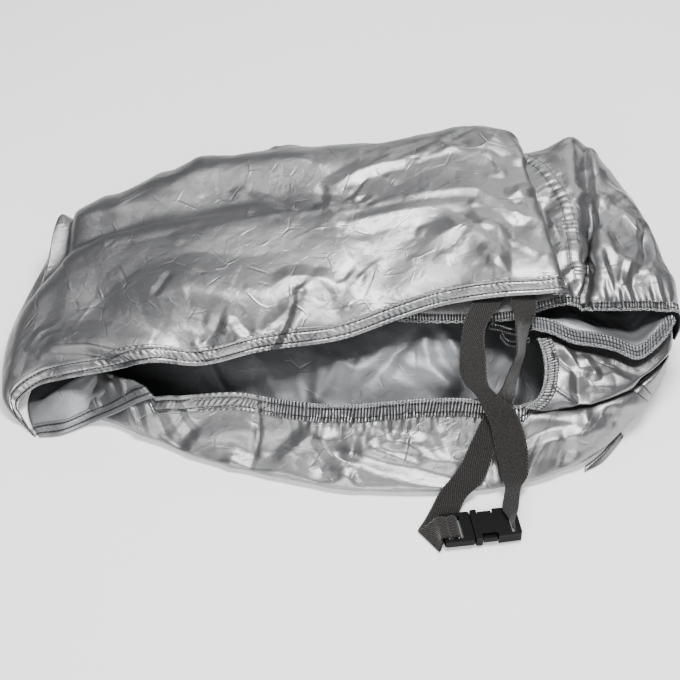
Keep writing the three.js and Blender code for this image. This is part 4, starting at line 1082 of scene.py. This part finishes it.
LOWER_CREASES = [
    # line on the cloth (x, from the lip), heights, fall on its left, on its right, how round
    # the belly on the left
    ([(-146, 0), (-137, 19), (-128, 37)], (2, 3, 1), 3, 4, 0.8),
    ([(-214, 20), (-200, 45), (-182, 66)], (2, 4, 3), 5, 6, 0.8),
    ([(-168, 13), (-161, 35), (-147, 49)], (-2, -4, -3), 7, 5, 1.5),
    ([(-135, 32), (-147, 47)], (-4, -3), 5, 5, 1),
    ([(-146, 51), (-121, 41), (-73, 32), (-42, 25)], (2, 5, 4, 1), 9, 11, 3),
    ([(-76, 0), (-73, 29), (-74, 41), (-82, 74)], (-1, -2.5, -2.5, -1.5), 2.5, 2, 0.6),
    ([(-99, 72), (-99, 66), (-94, 54)], (4, 4, 1), 5, 5, 1),
    ([(-5, 14), (-15, 22), (-35, 38), (-54, 61), (-65, 74)], (3, 6, 7, 6, 4), 6, 16, 0.8),
    ([(-24, 39), (-35, 48)], (-2, -1), 4, 4, 0.8),
    # the folds that fan out from the elastic
    ([(-13, 33), (-10, 43), (-2, 49), (6, 54)], (3, 4, 4, 3), 5, 6, 0.8),
    ([(-13, 33), (-2, 32), (15, 30)], (3, 3, 2), 6, 5, 0.8),
    ([(24, 17), (15, 30), (8, 48), (6, 55)], (-3, -5, -5, -3), 6, 5, 0.8),
    ([(4, 54), (2, 69), (-14, 77)], (4, 4, 2), 6, 6, 0.8),
    ([(0, 52), (21, 56), (52, 70), (70, 77), (83, 86)], (2, 5, 5, 4, 2), 9, 8, 2),
    ([(8, 68), (15, 79)], (3, 2), 4, 4, 0.8),
    ([(39, 16), (24, 23), (20, 30), (21, 36), (33, 44), (52, 53), (70, 61), (91, 62), (104, 60)],
     (3, 5, 6, 6, 7, 7, 6, 5, 3), 7, 8, 0.8),
    ([(24, 36), (39, 28)], (-3, -2), 4, 4, 0.8),
    ([(39, 28), (44, 35), (60, 41), (73, 48), (75, 54), (90, 61)], (3, 4, 4, 3, 3, 2), 4, 4, 0.8),
    ([(52, 36), (77, 39), (86, 51), (99, 61)], (3, 3.5, 3, 1), 5, 4, 0.8),
    ([(64, 17), (52, 36)], (3, 3), 4, 4, 0.8),
    ([(50, 17), (50, 34)], (-2.5, -2), 3, 3, 0.8),
    ([(84, 17), (86, 26), (90, 39), (101, 59)], (2, 5, 6, 4), 6, 12, 0.8),
    ([(15, 42), (40, 54), (72, 66), (95, 72)], (-3, -5, -4, -2), 7, 7, 1.5),
    ([(4, 16), (-2, 26)], (3, 1), 3, 3, 0.8),
    ([(-22, 16), (-30, 28)], (3, 1), 3, 3, 0.8),
    # the right end
    ([(166, 12), (193, 38), (216, 47)], (3, 6, 3), 9, 11, 1),
    ([(168, 35), (183, 40), (211, 47)], (-3, -3, -1), 5, 6, 1),
    ([(168, 44), (200, 59), (215, 55), (245, 49)], (2, 5, 4, 2), 7, 5, 0.8),
    ([(221, 36), (221, 44), (230, 48)], (3, 4, 1), 4, 4, 0.8),
    ([(245, 38), (248, 47)], (-3, -3), 3, 3, 0.8),
    ([(278, 40), (254, 32), (235, 30)], (4, 4, 1), 6, 9, 1),
    ([(201, 58), (203, 68), (200, 78)], (-2, -4, -3), 3, 5, 0.8),
    ([(172, 63), (179, 54), (180, 49)], (4, 4, 1), 4, 4, 0.8),
    ([(236, 70), (262, 58), (280, 62)], (2, 4, 1), 7, 7, 2),
    # inside the mouth, seen from its inner face
    ([(-114, 181), (-109, 172), (-104, 164)], (2.5, 2.5, 1), 4, 3, 0.8),
    ([(-122, 176), (-112, 168), (-101, 160)], (-3, -3, -1), 6, 6, 1),
    ([(-79, 207), (-69, 196), (-65, 183), (-61, 172)], (-3, -4, -4, -2), 16, 8, 1),
    ([(-20, 223), (-20, 204), (-23, 180)], (-2, -2.5, -2), 4, 4, 0.8),
    ([(-2, 224), (-12, 198), (-20, 181)], (-2, -2.5, -2), 4, 5, 0.8),
    ([(-24, 226), (-7, 222), (15, 217), (37, 219), (51, 212), (75, 209)],
     (-2, -5, -6, -5, -4, -2), 16, 16, 1.5),
    ([(74, 257), (55, 241), (37, 219), (15, 198)], (3, 4, 4, 2), 6, 5, 1.5),
    ([(79, 257), (75, 253), (58, 237)], (-3, -3, -1), 5, 5, 1),
    ([(79, 257), (79, 248), (83, 231), (101, 213)], (-3, -4, -4, -3), 7, 6, 0.8),
    ([(55, 235), (70, 228), (101, 211)], (-2, -4, -4), 6, 7, 0.8),
    ([(100, 261), (111, 238)], (-4, -4), 5, 7, 0.8),
    ([(89, 272), (96, 264)], (-2, -2), 4, 4, 0.8),
    ([(163, 214), (165, 200), (165, 182)], (-5, -8, -6), 3, 9, 1),
]
LOWER_CREASES += loose_creases(51, 22, (-200, 250), (18, 80), 15, 24, 1.0)
LOWER_CREASES += loose_creases(54, 14, (-300, -215), (20, 110), 40, 30, 1.6)
LOWER_CREASES += loose_creases(52, 26, (-230, 160), (110, 300), 70, 40, 2.0)


def lower_relief(x, s):
    height = creases(x, s, LOWER_CREASES) + 0.8 * crumple(x, s, 28, 51)
    for seam in BELLY_SEAMS:
        height -= 1.2 * np.exp(-((beside(x, s, seam)[0] / 1.2) ** 2))
    gathers = np.cos(2 * math.pi * (x / 7.5 + 0.7 * soft_noise(x, s, 24, 52)))
    drawn_up = rise(x, -70, -10) * (1 - rise(x, 130, 180))
    height += 1.7 * gathers * np.exp(-np.maximum(s - LIP, 0) / 7) * drawn_up * rise(s, 10, 18)
    return height


def lower_ribs(x, s):
    tight = rise(x, -90, -30)
    own = tight * elastic(x, s, 2.9, 1.0, LIP_ROWS, 53) + (1 - tight) * plain_hem(x, s, 55)
    return own * (1 - rise(x, 190, 225))


points, lower_s = lay(LOWER_PANEL_ROWS, 272, 180, start=1.5, power=1.5)
lower_x = points[..., 0]
lower_grid = fold(points, -lower_relief(lower_x, lower_s))
lower = shell("lower_cloth", lower_grid, CLOTH, run_along(points), lower_s, (INNER, OUTER))
hem_grid, hem_x, hem_s, painted_shading = band_grid(LOWER_PANEL_ROWS, lower_relief, LIP, lower_ribs, 1100,
                                          side=-1)
lip = shell("lower_lip", hem_grid, HEM_THICKNESS, hem_x, hem_s, (INNER, OUTER), painted_shading=painted_shading)
lip_end = int(np.argmin(np.abs(hem_x[:, 0] - UNDER_GUSSET)))
lip_seams = sew("lower_stitches", [
    *[row_on(hem_grid, hem_s, d, HEM_THICKNESS, side, slice(0, end))
      for side, end in ((-1, lip_end), (1, CUFF_END)) for d in LIP_ROWS],
    *[line_on(lower_grid, lower_x, lower_s, seam, side=-1) for seam in BELLY_SEAMS]], thread=0.4)
lip_overlock = overlock("lower_overlock", hem_grid, hem_s, HEM_THICKNESS, 3.0, 0.42, side=-1,
                        columns=slice(ELASTIC_START, lip_end))
for piece in (lower, lip, lip_seams, lip_overlock):
    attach(piece, "root")
    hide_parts("lower_panel")

# Tail hem
# The corner of stitched hem that peeks out from under the tail on the floor, puckered like the hems
# on elastic.
CORNER_THICKNESS = 1.2
CORNER_ROWS = (3, 9)
TAIL_HEM_ROWS = [
    # x, lean, bow, then (y, z), or y alone on the floor, at inner, rise, outer
    (222, 0, 0, (-108, 1), (-111, 2), -114),
    (237, 0, 0, (-94, 2), (-99, 6), -103),
    (250, 0, 0, (-76, 3), (-81, 6.5), -86),
    (257, 4, 0, (-62, 2), (-66, 4), -69),
]
points, corner_s = lay(TAIL_HEM_ROWS, 160, 20)
puckers = elastic(points[..., 0] + points[..., 1], corner_s, 4.2, 0.9, CORNER_ROWS, 61)
corner_grid = fold(points, puckers)
# the corner's puckers get painted shade in their grooves and a painted highlight on their crests,
# weaker than on the hems
corner = shell("tail_hem_corner", corner_grid, CORNER_THICKNESS, points[..., 0], corner_s, (OUTER,),
               painted_shading=0.6 * painted_shading_of(puckers))
corner_seams = sew("tail_hem_stitches", [
    row_on(corner_grid, corner_s, d, CORNER_THICKNESS) for d in CORNER_ROWS])
for piece in (corner, corner_seams):
    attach(piece, "root")
    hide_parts("tail_hem")

# Straps
# Two runs of 25 mm polyester webbing in a twill weave, sewn behind the hem. One is folded double
# and ends on the bar of the female half, and the other goes through the ladder of the male half.
WEBBING_THICKNESS = 1.3
WEBBING_WIDTH = 25
WEBBING_STEPS = 12  # across, and between two edge points
BUCKLE_TURN = math.radians(8)
BUCKLE_PLACE = np.array([122, -189, 1.6])


def on_buckle(along, over, up):
    c, n = math.cos(BUCKLE_TURN), math.sin(BUCKLE_TURN)
    return tuple(BUCKLE_PLACE + (along * c - over * n, along * n + over * c, up))


FIXED_EDGES = [
    # left edge, right edge
    ((125, 17, 98), (155, 18, 100)), ((119, 3, 95), (145, 2, 96.5)),
    ((114, -11, 93), (138, -9, 94)), ((111, -25, 89), (133, -19, 90.5)),
    ((109, -38, 84.5), (131, -32, 86.5)), ((108, -52, 78.5), (132, -46, 80)),
    ((108, -62, 72.5), (132, -63, 73)), ((113, -72, 68), (134, -76, 69)),
    ((121, -82, 64.5), (143, -84, 64)), ((128, -93, 56.5), (154, -91, 58)),
    ((134, -101, 47), (162, -101, 46)), ((137, -112, 36), (167, -115, 33)),
    ((141, -126, 24.5), (168, -127, 22.5)), ((143, -136, 18), (167, -136, 17)),
    ((146, -146, 14), (161, -146, 14)), ((144, -160, 14), (158, -160, 14)),
    ((142, -173, 13), (156, -173, 13)),
    (on_buckle(24.75, 3, 10.8), on_buckle(31.75, 2, 10.8)),
    (on_buckle(26.15, -3, 10), on_buckle(29.75, -4, 10)),
    (on_buckle(26.95, -7, 7.4), on_buckle(28.55, -11, 7.4)),
]
FREE_EDGES = [
    ((159, 16, 103), (180, 18, 103)), ((157, 3, 99), (181, 3, 99)), ((159, -7, 96), (178, -8, 94)),
    ((160, -20, 93), (174, -12, 85)), ((160, -34, 88), (171, -18, 74)),
    ((159, -48, 83), (169, -29, 67)), ((152, -62, 75), (163, -48, 63)),
    ((146, -74, 68), (158, -67, 60)), ((137, -84, 60), (156, -82, 57)),
    ((129, -93, 51), (151, -94, 47)), ((122, -102, 40), (143, -107, 37)),
    ((113, -117, 28), (136, -121, 26)), ((108, -126, 22), (131, -133, 19)),
    ((98, -139, 16), (121, -146, 12)), ((88, -150, 10), (112, -154, 8)),
    ((80, -164, 3), (103, -172, 2)), ((74, -176, 0.8), (95, -190, 0.8)),
    ((68, -189, 1.6), (86, -214, 1.6)), ((77, -185, 6), (88, -211, 6)),
    (on_buckle(-36, 12.5, 8.75), on_buckle(-36, -12.5, 8.75)),
    (on_buckle(-32, 12.5, 8.95), on_buckle(-32, -12.5, 8.95)),
    (on_buckle(-30, 12.5, 8.75), on_buckle(-30, -12.5, 8.75)),
    (on_buckle(-27.75, 12.5, 7.15), on_buckle(-27.75, -12.5, 7.15)),
    (on_buckle(-25.5, 12.5, 8.75), on_buckle(-25.5, -12.5, 8.75)),
    (on_buckle(-21.5, 12.5, 8.75), on_buckle(-21.5, -12.5, 8.75)),
    (on_buckle(-19.25, 12.5, 5.75), on_buckle(-19.25, -12.5, 5.75)),
]


def webbing_finish():
    paint, tree, shader = new_finish("twill webbing")
    place = tree.nodes.new("ShaderNodeTexCoord").outputs["UV"]
    turned = add_node(tree, "ShaderNodeMapping", {
        "Rotation": (0, 0, math.radians(30)), "Vector": place}).outputs["Vector"]
    twill = add_node(tree, "ShaderNodeTexWave", {
        "Scale": 190.0, "Distortion": 0.2, "Detail Scale": 4.0, "Vector": turned}).outputs["Fac"]
    fluff = add_node(tree, "ShaderNodeTexNoise", {
        "Scale": 500.0, "Detail": 1.0, "Vector": place}).outputs["Fac"]
    yarn = reckon(tree, "MULTIPLY", twill, fluff)
    set_sockets(tree, shader, {
        "Roughness": 0.75, "Sheen Weight": 0.3, "Normal": bumps(tree, yarn, 0.001),
        "Base Color": shades(tree, yarn, (0.005, 0.0045, 0.004), (0.052, 0.047, 0.042), 0.1, 0.6)})
    return paint


WEBBING = webbing_finish()


def strap(name, edges, node):
    """A strap between its two edges."""
    edges = np.array(edges, float)
    lines = curve_through(edges, np.linspace(0, 1, WEBBING_STEPS * (len(edges) - 1) + 1))
    over = np.linspace(0, 1, WEBBING_STEPS + 1)
    grid = lines[:, 1:2] * over[None, :, None] + lines[:, 0:1] * (1 - over)[None, :, None]
    u, v = np.meshgrid(over * WEBBING_WIDTH, run_along(grid.mean(axis=1)), indexing="ij")
    piece = shell(name, np.swapaxes(grid, 0, 1), WEBBING_THICKNESS, u, v, (WEBBING,))
    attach(piece, "root")
    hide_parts(node)
    return piece


fixed = strap("strap_to_female_half", FIXED_EDGES, "strap_fixed")
free = strap("strap_to_male_half", FREE_EDGES, "strap_free")


# Buckle
# A side-release buckle of black acetal plastic, its two halves closed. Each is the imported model's
# own moulding, with its doubles merged.
def buckle_finish():
    paint, tree, shader = new_finish("black buckle plastic")
    place = tree.nodes.new("ShaderNodeTexCoord").outputs["Object"]
    grain = add_node(tree, "ShaderNodeTexNoise", {"Scale": 700.0, "Vector": place}).outputs["Fac"]
    gloss = add_node(tree, "ShaderNodeMapRange", {"Value": grain, "To Min": 0.28, "To Max": 0.45})
    set_sockets(tree, shader, {
        "Specular IOR Level": 0.3, "Roughness": gloss.outputs["Result"],
        "Base Color": shades(tree, grain, (0.0035, 0.0035, 0.004), (0.008, 0.008, 0.009)),
        "Normal": bumps(tree, grain, 0.0002, 0.25)})
    return paint


BUCKLE_PLASTIC = buckle_finish()
for node in ("buckle_female", "buckle_male"):
    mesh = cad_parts[node].data.copy()
    work = bmesh.new()
    work.from_mesh(mesh)
    bmesh.ops.remove_doubles(work, verts=work.verts, dist=1e-6)
    work.to_mesh(mesh)
    work.free()
    half = put(node + "_moulding", mesh)
    mesh.materials.clear()
    mesh.materials.append(BUCKLE_PLASTIC)
    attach(half, "root")
    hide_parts(node)
